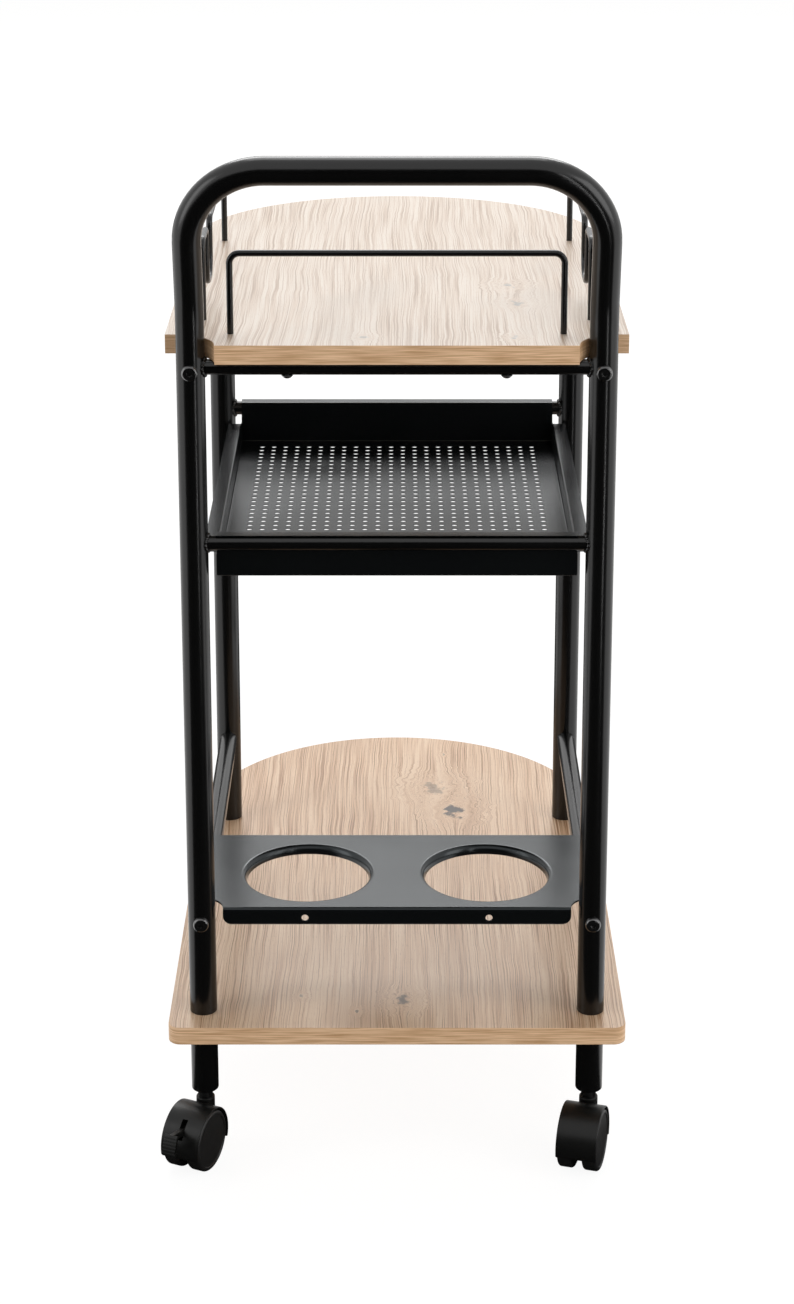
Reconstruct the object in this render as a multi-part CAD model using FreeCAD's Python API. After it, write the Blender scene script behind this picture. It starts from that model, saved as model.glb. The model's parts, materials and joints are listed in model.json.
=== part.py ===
import FreeCAD, Part
import math
import os

# A rolling serving cart: a tube frame carries two bullet-shaped boards, a lift-off sheet tray
# and a plate with two bottle holes. It stands on four twin-wheel casters.
# Lengths are millimetres and angles are degrees. X runs across the cart, Y runs from the handle
# end to the round end, and Z is up. While the pieces are made, Y = 0 is the axis of the two legs
# at the handle end and Z = 0 is the floor. At the end everything moves along Y, so that the
# origin lies under the middle of the whole cart.

V = FreeCAD.Vector
ACROSS = V(1, 0, 0)
ALONG = V(0, 1, 0)
UP = V(0, 0, 1)

# Clearances and small common sizes
running_gap = 0.05
slip_gap = 0.3
overrun = 5.0

# Frame tube and its main spacings
tube_radius = 11.0
tube_wall = 1.5
tube_end_round = 1.0
leg_offset = 157.0
leg_spacing = 376.0
handle_rise = 147.0
handle_lean = 14.0
handle_corner_radius = 59.0
kink_rise = 24.0
kink_radius = 80.0

# Boards
board_thickness = 15.0
board_edge_round = 0.8
board_gap = 547.0
bottom_side_overhang = 27.0
bottom_half_width = leg_offset + bottom_side_overhang
bottom_near_overhang = 31.5
bottom_corner_radius = 10.0
bottom_arc_past_leg = 5.0
top_side_overhang = 20.5
top_half_width = leg_offset + top_side_overhang
top_arc_before_leg = 19.5
notch_gap = 0.9
notch_centre_out = 14.0
notch_centre_near = 16.2

# Crossbars and side rails
crossbar_radius = 6.0
crossbar_wall = 1.2
tray_bar_rise = 400.0
rail_radius = 8.0
rail_wall = 1.2
lower_rail_rise = 81.0

# Bolts that hold the side rails between the legs
bolt_radius = 3.0
bolt_head_radius = 6.2
bolt_head_height = 3.4
bolt_head_round = 1.6
bolt_socket_across = 4.0
bolt_socket_depth = 2.0
bolt_reach = 16.0
rail_insert_length = 20.0
rail_insert_inset = 2.0

# Screws that hold the top board on the crossbars
screw_radius = 2.0
screw_head_radius = 5.0
screw_head_height = 2.8
screw_head_round = 2.0
screw_offset = 83.5
screw_bite = 10.0

# Leg seats, plugs, studs and feet
leg_seat_depth = 0.5
leg_seat_gap = 0.2
leg_insert_length = 25.0
stud_radius = 4.0
stud_bite = 21.0
foot_length = 55.5
socket_length = 31.0
foot_core_gap = 4.5
foot_plug_length = foot_length - socket_length - foot_core_gap
cap_flange = 2.0
cap_plug_length = 12.0

# Wire guard rails on the top board
wire_radius = 2.5
wire_bend_radius = 8.0
wire_seat_depth = 10.0
guard_height = 63.0
end_guard_inset = 29.5
end_guard_half_width = leg_offset - end_guard_inset
end_guard_from_leg = 20.0
side_guard_inset = 6.0
side_guard_offset = leg_offset - side_guard_inset
side_guard_near = 63.0
side_guard_far = 344.0
dip_near = 108.0
dip_width = 42.0
dip_above_board = 17.0
dip_bend_radius = 17.0

# Lift-off tray
tray_sheet = 0.7
tray_bend_radius = 1.5
tray_side_gap = 5.5
tray_half_width = leg_offset - tube_radius - tray_side_gap
tray_bar_gap = 0.5
tray_rest_gap = 0.3
tray_depth = 36.5
tray_lip_reach = 11.0
tray_side_height = 18.0
tray_flange_width = 11.5
tray_flange_from_leg = 1.5

# Bottle plate
plate_sheet = 1.5
plate_bend_radius = 2.25
plate_overhang = 8.0
plate_near_reach = 1.5
plate_length = 138.5
plate_leg_gap = 6.0
plate_far_relief = 6.0
lip_drop = 14.0
lip_corner_radius = 7.0
lip_hole_radius = 2.9
lip_hole_offset = 74.0
lip_hole_above_edge = 5.5
bottle_offset = 73.5
bottle_from_leg = 65.0
bottle_rim_radius = 55.0
bottle_hole_radius = 50.5
bottle_dish_depth = 6.0

# Casters
wheel_radius = 25.0
wheel_width = 12.5
wheel_rim_round = 2.5
wheel_inner_gap = 4.0
wheel_face_recess = 0.8
wheel_face_ring = 3.5
wheel_end_wall = 2.5
axle_radius = 3.0
caster_trail = 20.0
stem_radius = 5.0
socket_end_wall = 4.0
stem_length = socket_length - socket_end_wall
stem_neck_radius = 6.1
stem_neck_length = 7.2
stem_root_radius = 4.0
stem_root_length = 10.0
hood_wheel_gap = 0.8
hood_wall = 1.9
hood_half_width = 16.7
hood_web_half_width = 3.5
hood_axle_boss_radius = 6.0
hood_boss_radius = 7.6
hood_boss_length = 17.0
hood_start_angle = -20.0
hood_end_angle = 192.0
hood_rim_bevel = 0.9

# Brake levers on two of the casters; angles go round the axle from the stem's side
lever_half_thickness = 2.2
lever_pin_distance = 19.0
lever_pin_angle = 133.0
lever_pin_radius = 1.5
lever_eye_radius = 3.6
lever_taper_share = 0.6
lever_arm_angle = 153.0
lever_tab_gap = 15.0
lever_tab_thickness = 2.6
lever_tab_half_width = 5.7
lever_tab_start_angle = 150.0
lever_tab_end_angle = 172.0
lever_press = 14.0
lever_slot_start_angle = 122.0
lever_slot_end_angle = 158.0
rib_count = 6
rib_depth = 0.7
rib_width = 0.9

# Directions that the casters trail in, in degrees from -Y towards -X, and which ones have a brake.
# The pair at the round end is the pair at the handle end turned half round.
CASTERS = {
    "near_left": {"side": -1, "end": 0, "turn": 24.0, "brake": True},
    "near_right": {"side": 1, "end": 0, "turn": 16.0, "brake": False},
    "rear_left": {"side": -1, "end": 1, "turn": 196.0, "brake": False},
    "rear_right": {"side": 1, "end": 1, "turn": 204.0, "brake": True},
}

# Heights and places worked out from the sizes above
axle_height = wheel_radius
foot_bottom = 2 * wheel_radius + hood_wheel_gap + hood_wall + stem_neck_length + slip_gap
foot_top = foot_bottom + foot_length
bottom_board_top = foot_top + board_thickness
leg_foot = bottom_board_top - leg_seat_depth
top_board_bottom = bottom_board_top + board_gap
top_board_top = top_board_bottom + board_thickness
kink_height = top_board_top + kink_rise
handle_height = top_board_top + handle_rise - tube_radius
handle_forward = (handle_height - kink_height) * math.tan(math.radians(handle_lean))
upper_rail_height = top_board_bottom - rail_radius
lower_rail_height = bottom_board_top + lower_rail_rise
top_bar_height = top_board_bottom - crossbar_radius
tray_bar_height = bottom_board_top + tray_bar_rise
tube_bore = tube_radius - tube_wall
rail_bore = rail_radius - rail_wall
tray_lip_top = tray_bar_height + crossbar_radius + tray_rest_gap + tray_sheet
tray_floor_top = tray_lip_top - tray_depth + tray_sheet / 2
plate_top = lower_rail_height + rail_radius + plate_sheet
plate_half_width = leg_offset + plate_overhang


def cylinder(radius, length, base, axis):
    return Part.makeCylinder(radius, length, base, axis)


def bar_between(start, end, radius):
    """A round bar from one point to another."""
    return Part.makeCylinder(radius, start.distanceToPoint(end), start, end - start)


def block(low, high):
    """A box from its lowest corner to its highest."""
    size = high - low
    return Part.makeBox(size.x, size.y, size.z, low)


def line(start, end):
    return Part.LineSegment(start, end).toShape()


def arc(start, middle, end):
    return Part.Arc(start, middle, end).toShape()


def bent_path(points, radii):
    """Straight runs with a tangent arc of the given radius at each inner point."""
    edges = []
    start = points[0]
    for index, radius in enumerate(radii, 1):
        corner = points[index]
        back = (points[index - 1] - corner).normalize()
        ahead = (points[index + 1] - corner).normalize()
        half_turn = back.getAngle(ahead) / 2
        setback = radius / math.tan(half_turn)
        inward = (back + ahead).normalize()
        arc_start = corner + back * setback
        arc_end = corner + ahead * setback
        arc_middle = corner + inward * (radius / math.sin(half_turn) - radius)
        edges.append(line(start, arc_start))
        edges.append(arc(arc_start, arc_middle, arc_end))
        start = arc_end
    edges.append(line(start, points[-1]))
    return Part.Wire(edges)


def rod(points, radii, radius):
    """A round bar that follows a bent path."""
    heading = points[1] - points[0]
    ring = Part.Wire([Part.Circle(points[0], heading, radius).toShape()])
    return bent_path(points, radii).makePipeShell([ring], True, False)


def tube(points, radii, radius, wall):
    """A hollow round tube that follows a bent path."""
    return rod(points, radii, radius).cut(rod(points, radii, radius - wall))


def strip(points, radii, width_axis, half_width, thickness):
    """Sheet metal bent along a path, which runs in the middle of the sheet."""
    heading = (points[1] - points[0]).normalize()
    face_axis = heading.cross(width_axis).normalize()
    across = width_axis * half_width
    through = face_axis * (thickness / 2)
    corners = [points[0] - across - through, points[0] + across - through,
               points[0] + across + through, points[0] - across + through]
    section = Part.makePolygon(corners + corners[:1])
    return bent_path(points, radii).makePipeShell([section], True, False)


def revolved(profile_points, base, axis):
    """A closed profile of points turned once round an axis."""
    face = Part.Face(Part.makePolygon(profile_points + profile_points[:1]))
    return face.revolve(base, axis, 360)


def edges_at(shape, axis_name, value):
    """The edges that lie wholly at one value along X, Y or Z."""
    tolerance = running_gap
    found = []
    for edge in shape.Edges:
        box = edge.BoundBox
        low, high = getattr(box, axis_name + "Min"), getattr(box, axis_name + "Max")
        if abs(low - value) < tolerance and abs(high - value) < tolerance:
            found.append(edge)
    return found


def eased_board(outline, bottom):
    """A board with slightly rounded top and bottom edges."""
    board = Part.Face(outline).extrude(UP * board_thickness)
    board.translate(UP * bottom)
    edges = edges_at(board, "Z", bottom) + edges_at(board, "Z", bottom + board_thickness)
    return board.makeFillet(board_edge_round, edges)


def end_rounded(shape, axis_name, value):
    """Rounds the outer edge of a tube end; the bore's edge stays sharp."""
    outer = [edge for edge in edges_at(shape, axis_name, value)
             if edge.BoundBox.XLength > tube_radius + tube_bore]
    return shape.makeFillet(tube_end_round, outer)


def bottom_board():
    """The larger board, with a stud hole and a shallow seat for each leg."""
    half, corner = bottom_half_width, bottom_corner_radius
    near = -bottom_near_overhang
    arc_y = leg_spacing + bottom_arc_past_leg
    inset = corner * (1 - math.sqrt(0.5))
    outline = Part.Wire([
        line(V(-half + corner, near, 0), V(half - corner, near, 0)),
        arc(V(half - corner, near, 0), V(half - inset, near + inset, 0), V(half, near + corner, 0)),
        line(V(half, near + corner, 0), V(half, arc_y, 0)),
        arc(V(half, arc_y, 0), V(0, arc_y + half, 0), V(-half, arc_y, 0)),
        line(V(-half, arc_y, 0), V(-half, near + corner, 0)),
        arc(V(-half, near + corner, 0), V(-half + inset, near + inset, 0), V(-half + corner, near, 0)),
    ])
    board = eased_board(outline, foot_top)
    for x, y in leg_places():
        base = V(x, y, foot_top - overrun)
        board = board.cut(cylinder(stud_radius + slip_gap, board_thickness + 2 * overrun, base, UP))
        seat = cylinder(tube_radius + leg_seat_gap, leg_seat_depth + overrun, V(x, y, leg_foot), UP)
        board = board.cut(seat)
    return board


def top_board():
    half = top_half_width
    notch_radius = tube_radius + notch_gap + math.hypot(notch_centre_out, notch_centre_near)
    notch_x = leg_offset + notch_centre_out
    near = -notch_centre_near
    wide_y = near + notch_radius
    tongue = notch_x - notch_radius
    diagonal = notch_radius * math.sqrt(0.5)
    arc_y = leg_spacing - top_arc_before_leg
    outline = Part.Wire([
        line(V(-tongue, near, 0), V(tongue, near, 0)),
        arc(V(tongue, near, 0), V(notch_x - diagonal, near + diagonal, 0), V(notch_x, wide_y, 0)),
        line(V(notch_x, wide_y, 0), V(half, wide_y, 0)),
        line(V(half, wide_y, 0), V(half, arc_y, 0)),
        arc(V(half, arc_y, 0), V(0, arc_y + half, 0), V(-half, arc_y, 0)),
        line(V(-half, arc_y, 0), V(-half, wide_y, 0)),
        line(V(-half, wide_y, 0), V(-notch_x, wide_y, 0)),
        arc(V(-notch_x, wide_y, 0), V(-notch_x + diagonal, near + diagonal, 0), V(-tongue, near, 0)),
    ])
    board = eased_board(outline, top_board_bottom)
    for x, y in screw_places():
        base = V(x, y, top_board_bottom - overrun)
        board = board.cut(cylinder(screw_radius + running_gap, screw_bite + overrun, base, UP))
    for x, y in guard_post_places():
        base = V(x, y, top_board_top - wire_seat_depth)
        board = board.cut(cylinder(wire_radius + running_gap, wire_seat_depth + overrun, base, UP))
    return board


def leg_places():
    return [(x, y) for y in (0, leg_spacing) for x in (-leg_offset, leg_offset)]


def screw_places():
    return [(x, y) for y in (0, leg_spacing) for x in (-screw_offset, screw_offset)]


def guard_post_places():
    side = [(x, y) for x in (-side_guard_offset, side_guard_offset)
            for y in (side_guard_near, side_guard_far)]
    end = [(x, end_guard_from_leg) for x in (-end_guard_half_width, end_guard_half_width)]
    return side + end


def bolt_hole_tools(y):
    """Cylinders that cut the rail bolts' holes through the two legs at one end."""
    radius = bolt_radius + slip_gap
    length = 2 * (tube_radius + overrun)
    return [cylinder(radius, length, V(x, y - tube_radius - overrun, z), ALONG)
            for x in (-leg_offset, leg_offset) for z in (upper_rail_height, lower_rail_height)]


def handle_frame():
    """One tube: two legs, a forward kink above the top board, and the handle across."""
    side, foot = leg_offset, leg_foot
    points = [V(-side, 0, foot), V(-side, 0, kink_height),
              V(-side, -handle_forward, handle_height), V(side, -handle_forward, handle_height),
              V(side, 0, kink_height), V(side, 0, foot)]
    radii = [kink_radius, handle_corner_radius, handle_corner_radius, kink_radius]
    frame = tube(points, radii, tube_radius, tube_wall)
    frame = end_rounded(frame, "Z", foot)
    return frame.cut(Part.makeCompound(bolt_hole_tools(0)))


def rear_leg(x):
    base = V(x, leg_spacing, leg_foot)
    length = top_board_bottom - cap_flange - leg_foot
    leg = cylinder(tube_radius, length, base, UP).cut(cylinder(tube_bore, length, base, UP))
    leg = end_rounded(leg, "Z", leg_foot)
    return leg.cut(Part.makeCompound(bolt_hole_tools(leg_spacing)))


def leg_outsides():
    """Solid cylinders on the four legs, which shape the ends of the bars that meet them."""
    length = handle_height
    return Part.makeCompound([cylinder(tube_radius, length, V(x, y, 0), UP) for x, y in leg_places()])


def crossbar(y, height, with_screw_holes):
    """A small tube across the cart, its ends hollowed to fit the legs."""
    start, end = V(-leg_offset, y, height), V(leg_offset, y, height)
    bar = bar_between(start, end, crossbar_radius)
    bar = bar.cut(bar_between(start, end, crossbar_radius - crossbar_wall))
    bar = bar.cut(leg_outsides())
    if with_screw_holes:
        for x in (-screw_offset, screw_offset):
            base = V(x, y, height - crossbar_radius - overrun)
            length = 2 * (crossbar_radius + overrun)
            bar = bar.cut(cylinder(screw_radius + slip_gap, length, base, UP))
    return largest_solid(bar)


def side_rail(x, height):
    """A tube along one side, its ends hollowed to fit the legs."""
    start, end = V(x, 0, height), V(x, leg_spacing, height)
    bar = bar_between(start, end, rail_radius).cut(bar_between(start, end, rail_bore))
    return largest_solid(bar.cut(leg_outsides()))


def largest_solid(shape):
    return max(shape.Solids, key=lambda solid: solid.Volume)


def rail_inserts():
    """Threaded plugs in both ends of the four side rails."""
    inserts = []
    for x in (-leg_offset, leg_offset):
        for height in (lower_rail_height, upper_rail_height):
            near = tube_radius + rail_insert_inset
            for y in (near, leg_spacing - near - rail_insert_length):
                base = V(x, y, height)
                plug = cylinder(rail_bore, rail_insert_length, base, ALONG)
                bore = cylinder(bolt_radius + running_gap, rail_insert_length, base, ALONG)
                inserts.append(plug.cut(bore))
    return Part.makeCompound(inserts)


def hex_prism(across_flats, length, base, axis):
    """A hexagonal socket; its flats are across_flats apart."""
    corner = across_flats / math.sqrt(3)
    sideways = axis.cross(UP if abs(axis.z) < abs(axis.y) else ACROSS)
    upward = axis.cross(sideways)
    points = []
    for step in range(7):
        angle = math.radians(60 * step)
        points.append(base + sideways * (corner * math.cos(angle)) + upward * (corner * math.sin(angle)))
    return Part.Face(Part.makePolygon(points)).extrude(axis * length)


def rail_bolt(x, y, height, outward):
    """A dome-head socket bolt through a leg into a side rail; outward is -1 or 1 along Y."""
    axis = ALONG * outward
    centre = V(x, y, height)
    head_top = tube_radius + bolt_head_height
    head = cylinder(bolt_head_radius, head_top, centre, axis)
    rim = [edge for edge in head.Edges
           if abs(edge.BoundBox.YMin - edge.BoundBox.YMax) < running_gap
           and abs(abs(edge.BoundBox.YMin - y) - head_top) < running_gap]
    head = head.makeFillet(bolt_head_round, rim)
    head = head.cut(cylinder(tube_radius, 2 * overrun + 2 * bolt_head_radius,
                             V(x, y, height - overrun - bolt_head_radius), UP))
    head = largest_solid(head)
    shank_length = 2 * tube_radius + rail_insert_inset + bolt_reach + bolt_head_height / 2
    shank = cylinder(bolt_radius, shank_length, centre + axis * (tube_radius + bolt_head_height / 2), axis * -1)
    socket_base = centre + axis * (head_top - bolt_socket_depth)
    socket = hex_prism(bolt_socket_across, bolt_socket_depth + overrun, socket_base, axis)
    return head.fuse(shank).cut(socket).removeSplitter()


def rail_bolts(y, outward):
    return Part.makeCompound([rail_bolt(x, y, height, outward)
                              for x in (-leg_offset, leg_offset)
                              for height in (lower_rail_height, upper_rail_height)])


def shelf_screws():
    """Pan-head screws up through the top crossbars into the board."""
    screws = []
    bar_bottom = top_bar_height - crossbar_radius
    for x, y in screw_places():
        base = V(x, y, bar_bottom - screw_head_height)
        head = cylinder(screw_head_radius, screw_head_height, base, UP)
        head = head.makeFillet(screw_head_round, edges_at(head, "Z", base.z))
        shank_length = screw_head_height + 2 * crossbar_radius + screw_bite
        shank = cylinder(screw_radius, shank_length - screw_head_round, base + UP * screw_head_round, UP)
        screws.append(head.fuse(shank).removeSplitter())
    return Part.makeCompound(screws)


def leg_inserts():
    """Threaded plugs in the lower ends of the four legs."""
    inserts = []
    for x, y in leg_places():
        base = V(x, y, leg_foot)
        plug = cylinder(tube_bore, leg_insert_length, base, UP)
        inserts.append(plug.cut(cylinder(stud_radius + running_gap, leg_insert_length, base, UP)))
    return Part.makeCompound(inserts)


def leg_studs():
    """Threaded rods that clamp the bottom board between the legs and the feet."""
    length = board_thickness + stud_bite + foot_plug_length - slip_gap
    start = foot_top - foot_plug_length + slip_gap
    return Part.makeCompound([cylinder(stud_radius, length, V(x, y, start), UP)
                              for x, y in leg_places()])


def rear_leg_caps():
    """Plastic caps that close the rear legs under the top board."""
    caps = []
    for x in (-leg_offset, leg_offset):
        base = V(x, leg_spacing, top_board_bottom - cap_flange)
        flange = cylinder(tube_radius, cap_flange, base, UP)
        plug = cylinder(tube_bore, cap_plug_length, base - UP * cap_plug_length, UP)
        cap = flange.fuse(plug).removeSplitter()
        caps.append(cap.cut(Part.makeCompound(bolt_hole_tools(leg_spacing))))
    return Part.makeCompound(caps)


def foot_tube(x, y):
    base = V(x, y, foot_bottom)
    foot = cylinder(tube_radius, foot_length, base, UP).cut(cylinder(tube_bore, foot_length, base, UP))
    return end_rounded(foot, "Z", foot_bottom)


def foot_plugs():
    """Threaded plugs in the upper ends of the feet."""
    plugs = []
    for x, y in leg_places():
        base = V(x, y, foot_top - foot_plug_length)
        plug = cylinder(tube_bore, foot_plug_length, base, UP)
        plugs.append(plug.cut(cylinder(stud_radius + running_gap, foot_plug_length, base, UP)))
    return Part.makeCompound(plugs)


def caster_sockets():
    """Plastic sleeves in the lower ends of the feet, which the caster stems turn in."""
    sockets = []
    for x, y in leg_places():
        base = V(x, y, foot_bottom)
        sleeve = cylinder(tube_bore, socket_length, base, UP)
        bore = cylinder(stem_radius + running_gap, stem_length + slip_gap, base, UP)
        sockets.append(sleeve.cut(bore))
    return Part.makeCompound(sockets)


def guard_height_axis():
    return top_board_top + guard_height


def end_guard_rail():
    """The wire rail across the handle end of the top board."""
    half, y = end_guard_half_width, end_guard_from_leg
    foot, crest = top_board_top - wire_seat_depth, guard_height_axis()
    points = [V(-half, y, foot), V(-half, y, crest), V(half, y, crest), V(half, y, foot)]
    return rod(points, [wire_bend_radius] * 2, wire_radius)


def side_guard_rail(x):
    """The wire rail along one side, with a U-shaped dip bent into it near the handle."""
    foot, crest = top_board_top - wire_seat_depth, guard_height_axis()
    trough = top_board_top + dip_above_board
    dip_far = dip_near + dip_width
    points = [V(x, side_guard_near, foot), V(x, side_guard_near, crest), V(x, dip_near, crest),
              V(x, dip_near, trough), V(x, dip_far, trough), V(x, dip_far, crest),
              V(x, side_guard_far, crest), V(x, side_guard_far, foot)]
    small, large = wire_bend_radius, dip_bend_radius
    return rod(points, [small, small, large, large, small, small], wire_radius)


def tray():
    """A folded sheet tray whose end walls hook over the two tray crossbars."""
    half_sheet = tray_sheet / 2
    floor = tray_floor_top - half_sheet
    near = crossbar_radius + tray_bar_gap + half_sheet
    far = leg_spacing - near
    lip = tray_lip_top - half_sheet
    points = [V(0, near - tray_lip_reach, lip), V(0, near, lip), V(0, near, floor),
              V(0, far, floor), V(0, far, lip), V(0, far + tray_lip_reach, lip)]
    body_half_width = tray_half_width - tray_bend_radius
    body = strip(points, [tray_bend_radius] * 4, ACROSS, body_half_width, tray_sheet)
    middle = (near + far) / 2
    side_half_length = (far - near) / 2 - half_sheet
    flange_near = tube_radius + tray_flange_from_leg
    for side in (-1, 1):
        wall = side * (tray_half_width - half_sheet)
        top = floor + tray_side_height
        outer = wall + side * tray_flange_width
        inner = side * (body_half_width - tray_bend_radius)
        path = [V(inner, middle, floor), V(wall, middle, floor), V(wall, middle, top), V(outer, middle, top)]
        fold = strip(path, [tray_bend_radius] * 2, ALONG, side_half_length, tray_sheet)
        for start, end in ((near, flange_near), (leg_spacing - flange_near, far)):
            x_low, x_high = sorted((wall + side * half_sheet, outer + side * overrun))
            fold = fold.cut(block(V(x_low, start, floor), V(x_high, end, top + overrun)))
        body = body.fuse(fold)
    return body.removeSplitter()


def bottle_plate():
    """A folded plate on the lower side rails, with two dished bottle holes and a drilled lip."""
    half_sheet = plate_sheet / 2
    sheet_height = plate_top - half_sheet
    lip_y = -plate_near_reach + half_sheet
    lip_bottom = plate_top - lip_drop
    far = plate_length - plate_near_reach
    points = [V(0, lip_y, lip_bottom), V(0, lip_y, sheet_height), V(0, far, sheet_height)]
    plate = strip(points, [plate_bend_radius], ACROSS, plate_half_width, plate_sheet)
    tall = lip_drop + 2 * overrun
    for side in (-1, 1):
        around_leg = cylinder(tube_radius + plate_leg_gap, tall,
                              V(side * leg_offset, 0, lip_bottom - overrun), UP)
        plate = plate.cut(around_leg)
        low_x, high_x = sorted((side * (plate_half_width - plate_far_relief), side * (plate_half_width + overrun)))
        plate = plate.cut(block(V(low_x, far - plate_far_relief, lip_bottom), V(high_x, far + overrun, plate_top)))
        plate = plate.cut(lip_corner_tool(side, lip_y, lip_bottom))
        hole = V(side * lip_hole_offset, -plate_near_reach - overrun, lip_bottom + lip_hole_above_edge)
        plate = plate.cut(cylinder(lip_hole_radius, plate_sheet + 2 * overrun, hole, ALONG))
        centre = V(side * bottle_offset, bottle_from_leg, plate_top)
        plate = plate.cut(cylinder(bottle_rim_radius, tall, centre - UP * (tall - overrun), UP))
    for side in (-1, 1):
        plate = plate.fuse(bottle_dish(V(side * bottle_offset, bottle_from_leg, plate_top)))
    return plate.removeSplitter()


def lip_corner_tool(side, lip_y, lip_bottom):
    """What is cut off a lower corner of the plate's lip to round it."""
    lip_half_width = leg_offset - tube_radius - plate_leg_gap
    radius = lip_corner_radius
    corner_x = side * lip_half_width
    low_x, high_x = sorted((corner_x - side * radius, corner_x + side * overrun))
    near, far = lip_y - overrun, lip_y + plate_sheet
    tool = block(V(low_x, near, lip_bottom - overrun), V(high_x, far, lip_bottom + radius))
    keep = cylinder(radius, far - near, V(corner_x - side * radius, near, lip_bottom + radius), ALONG)
    return tool.cut(keep)


def bottle_dish(centre):
    """The sloping rim that is pressed down round a bottle hole."""
    run = bottle_rim_radius - bottle_hole_radius
    slope_thickness = plate_sheet * math.hypot(run, bottle_dish_depth) / run
    rim, hole = ACROSS * bottle_rim_radius, ACROSS * bottle_hole_radius
    profile = [centre + rim, centre + rim - UP * slope_thickness,
               centre + hole - UP * (bottle_dish_depth + slope_thickness),
               centre + hole - UP * bottle_dish_depth]
    return revolved(profile, centre, UP)


def round_axle(distance, angle):
    """A point in the caster's own middle plane, found from the axle; the stem's side is 0 degrees."""
    turn = math.radians(angle)
    return V(0, -caster_trail + distance * math.cos(turn), axle_height + distance * math.sin(turn))


def sector(outer, half_width, start_angle, end_angle):
    """A slice of a cylinder round the axle, between two angles."""
    middle_angle = (start_angle + end_angle) / 2
    start, middle, end = (round_axle(outer, angle) for angle in (start_angle, middle_angle, end_angle))
    centre = round_axle(0, 0)
    outline = Part.Wire([line(centre, start), arc(start, middle, end), line(end, centre)])
    face = Part.Face(outline)
    face.translate(ACROSS * -half_width)
    return face.extrude(ACROSS * (2 * half_width))


def across_cylinder(radius, half_width, centre):
    return cylinder(radius, 2 * half_width, centre - ACROSS * half_width, ACROSS)


def wheel_space():
    """The room that both wheels need on the two sides of the hood's web."""
    radius = wheel_radius + hood_wheel_gap
    centre = round_axle(0, 0)
    length = hood_half_width - hood_web_half_width + overrun
    return Part.makeCompound([
        cylinder(radius, length, centre + ACROSS * hood_web_half_width, ACROSS),
        cylinder(radius, length, centre - ACROSS * hood_web_half_width, ACROSS * -1),
    ])


def caster_hood(braked):
    """The fender over both wheels, the web between them and the boss for the stem."""
    outer = wheel_radius + hood_wheel_gap + hood_wall
    hood = sector(outer, hood_half_width, hood_start_angle, hood_end_angle)
    rims = [edge for edge in hood.Edges if isinstance(edge.Curve, Part.Circle)]
    hood = hood.makeChamfer(hood_rim_bevel, rims)
    boss_top = foot_bottom - slip_gap - stem_neck_length
    boss_base = V(0, 0, boss_top - hood_boss_length)
    hood = hood.fuse(cylinder(hood_boss_radius, hood_boss_length, boss_base, UP))
    hood = hood.fuse(across_cylinder(hood_axle_boss_radius, hood_web_half_width, round_axle(0, 0)))
    hood = hood.cut(wheel_space())
    hood = hood.cut(across_cylinder(axle_radius, hood_half_width, round_axle(0, 0)))
    root_base = V(0, 0, boss_top - stem_root_length)
    hood = hood.cut(cylinder(stem_root_radius, stem_root_length + overrun, root_base, UP))
    if braked:
        hood = hood.cut(lever_pocket())
        pin = across_cylinder(lever_pin_radius, hood_web_half_width, lever_pin())
        hood = hood.fuse(pin)
    return largest_solid(hood.removeSplitter())


def lever_pin():
    return round_axle(lever_pin_distance, lever_pin_angle)


def lever_pocket():
    """The slot in the web and the fender that the brake lever moves in."""
    half = lever_half_thickness + slip_gap
    outer = wheel_radius + hood_wheel_gap + hood_wall + overrun
    slot = sector(outer, half, lever_slot_start_angle, lever_slot_end_angle)
    floor = across_cylinder(lever_pin_distance - lever_eye_radius, half, round_axle(0, 0))
    around_pin = across_cylinder(lever_eye_radius + slip_gap, half, lever_pin())
    return slot.cut(floor).fuse(around_pin)


def caster_stem():
    """The steel pin: a root pressed into the hood, a neck, and the journal in the socket."""
    neck_bottom = foot_bottom - slip_gap - stem_neck_length
    root = cylinder(stem_root_radius, stem_root_length, V(0, 0, neck_bottom - stem_root_length), UP)
    neck = cylinder(stem_neck_radius, stem_neck_length, V(0, 0, neck_bottom), UP)
    journal = cylinder(stem_radius, stem_length, V(0, 0, foot_bottom - slip_gap), UP)
    return root.fuse(neck).fuse(journal).removeSplitter()


def caster_axle():
    half = wheel_inner_gap + wheel_width - wheel_end_wall - slip_gap
    return across_cylinder(axle_radius, half, round_axle(0, 0))


def caster_wheel(side):
    """One wheel of the pair, with a blind bore and a shallow recess in its outer face."""
    centre = round_axle(0, 0)
    inner = centre + ACROSS * (side * wheel_inner_gap)
    axis = ACROSS * side
    wheel = cylinder(wheel_radius, wheel_width, inner, axis)
    rims = [edge for edge in wheel.Edges if edge.BoundBox.XLength < running_gap]
    wheel = wheel.makeFillet(wheel_rim_round, rims)
    bore = cylinder(axle_radius + running_gap, wheel_width - wheel_end_wall, inner, axis)
    face_radius = wheel_radius - wheel_face_ring
    recess = cylinder(face_radius, wheel_face_recess + overrun,
                      inner + axis * (wheel_width - wheel_face_recess), axis)
    return wheel.cut(bore).cut(recess)


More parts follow.
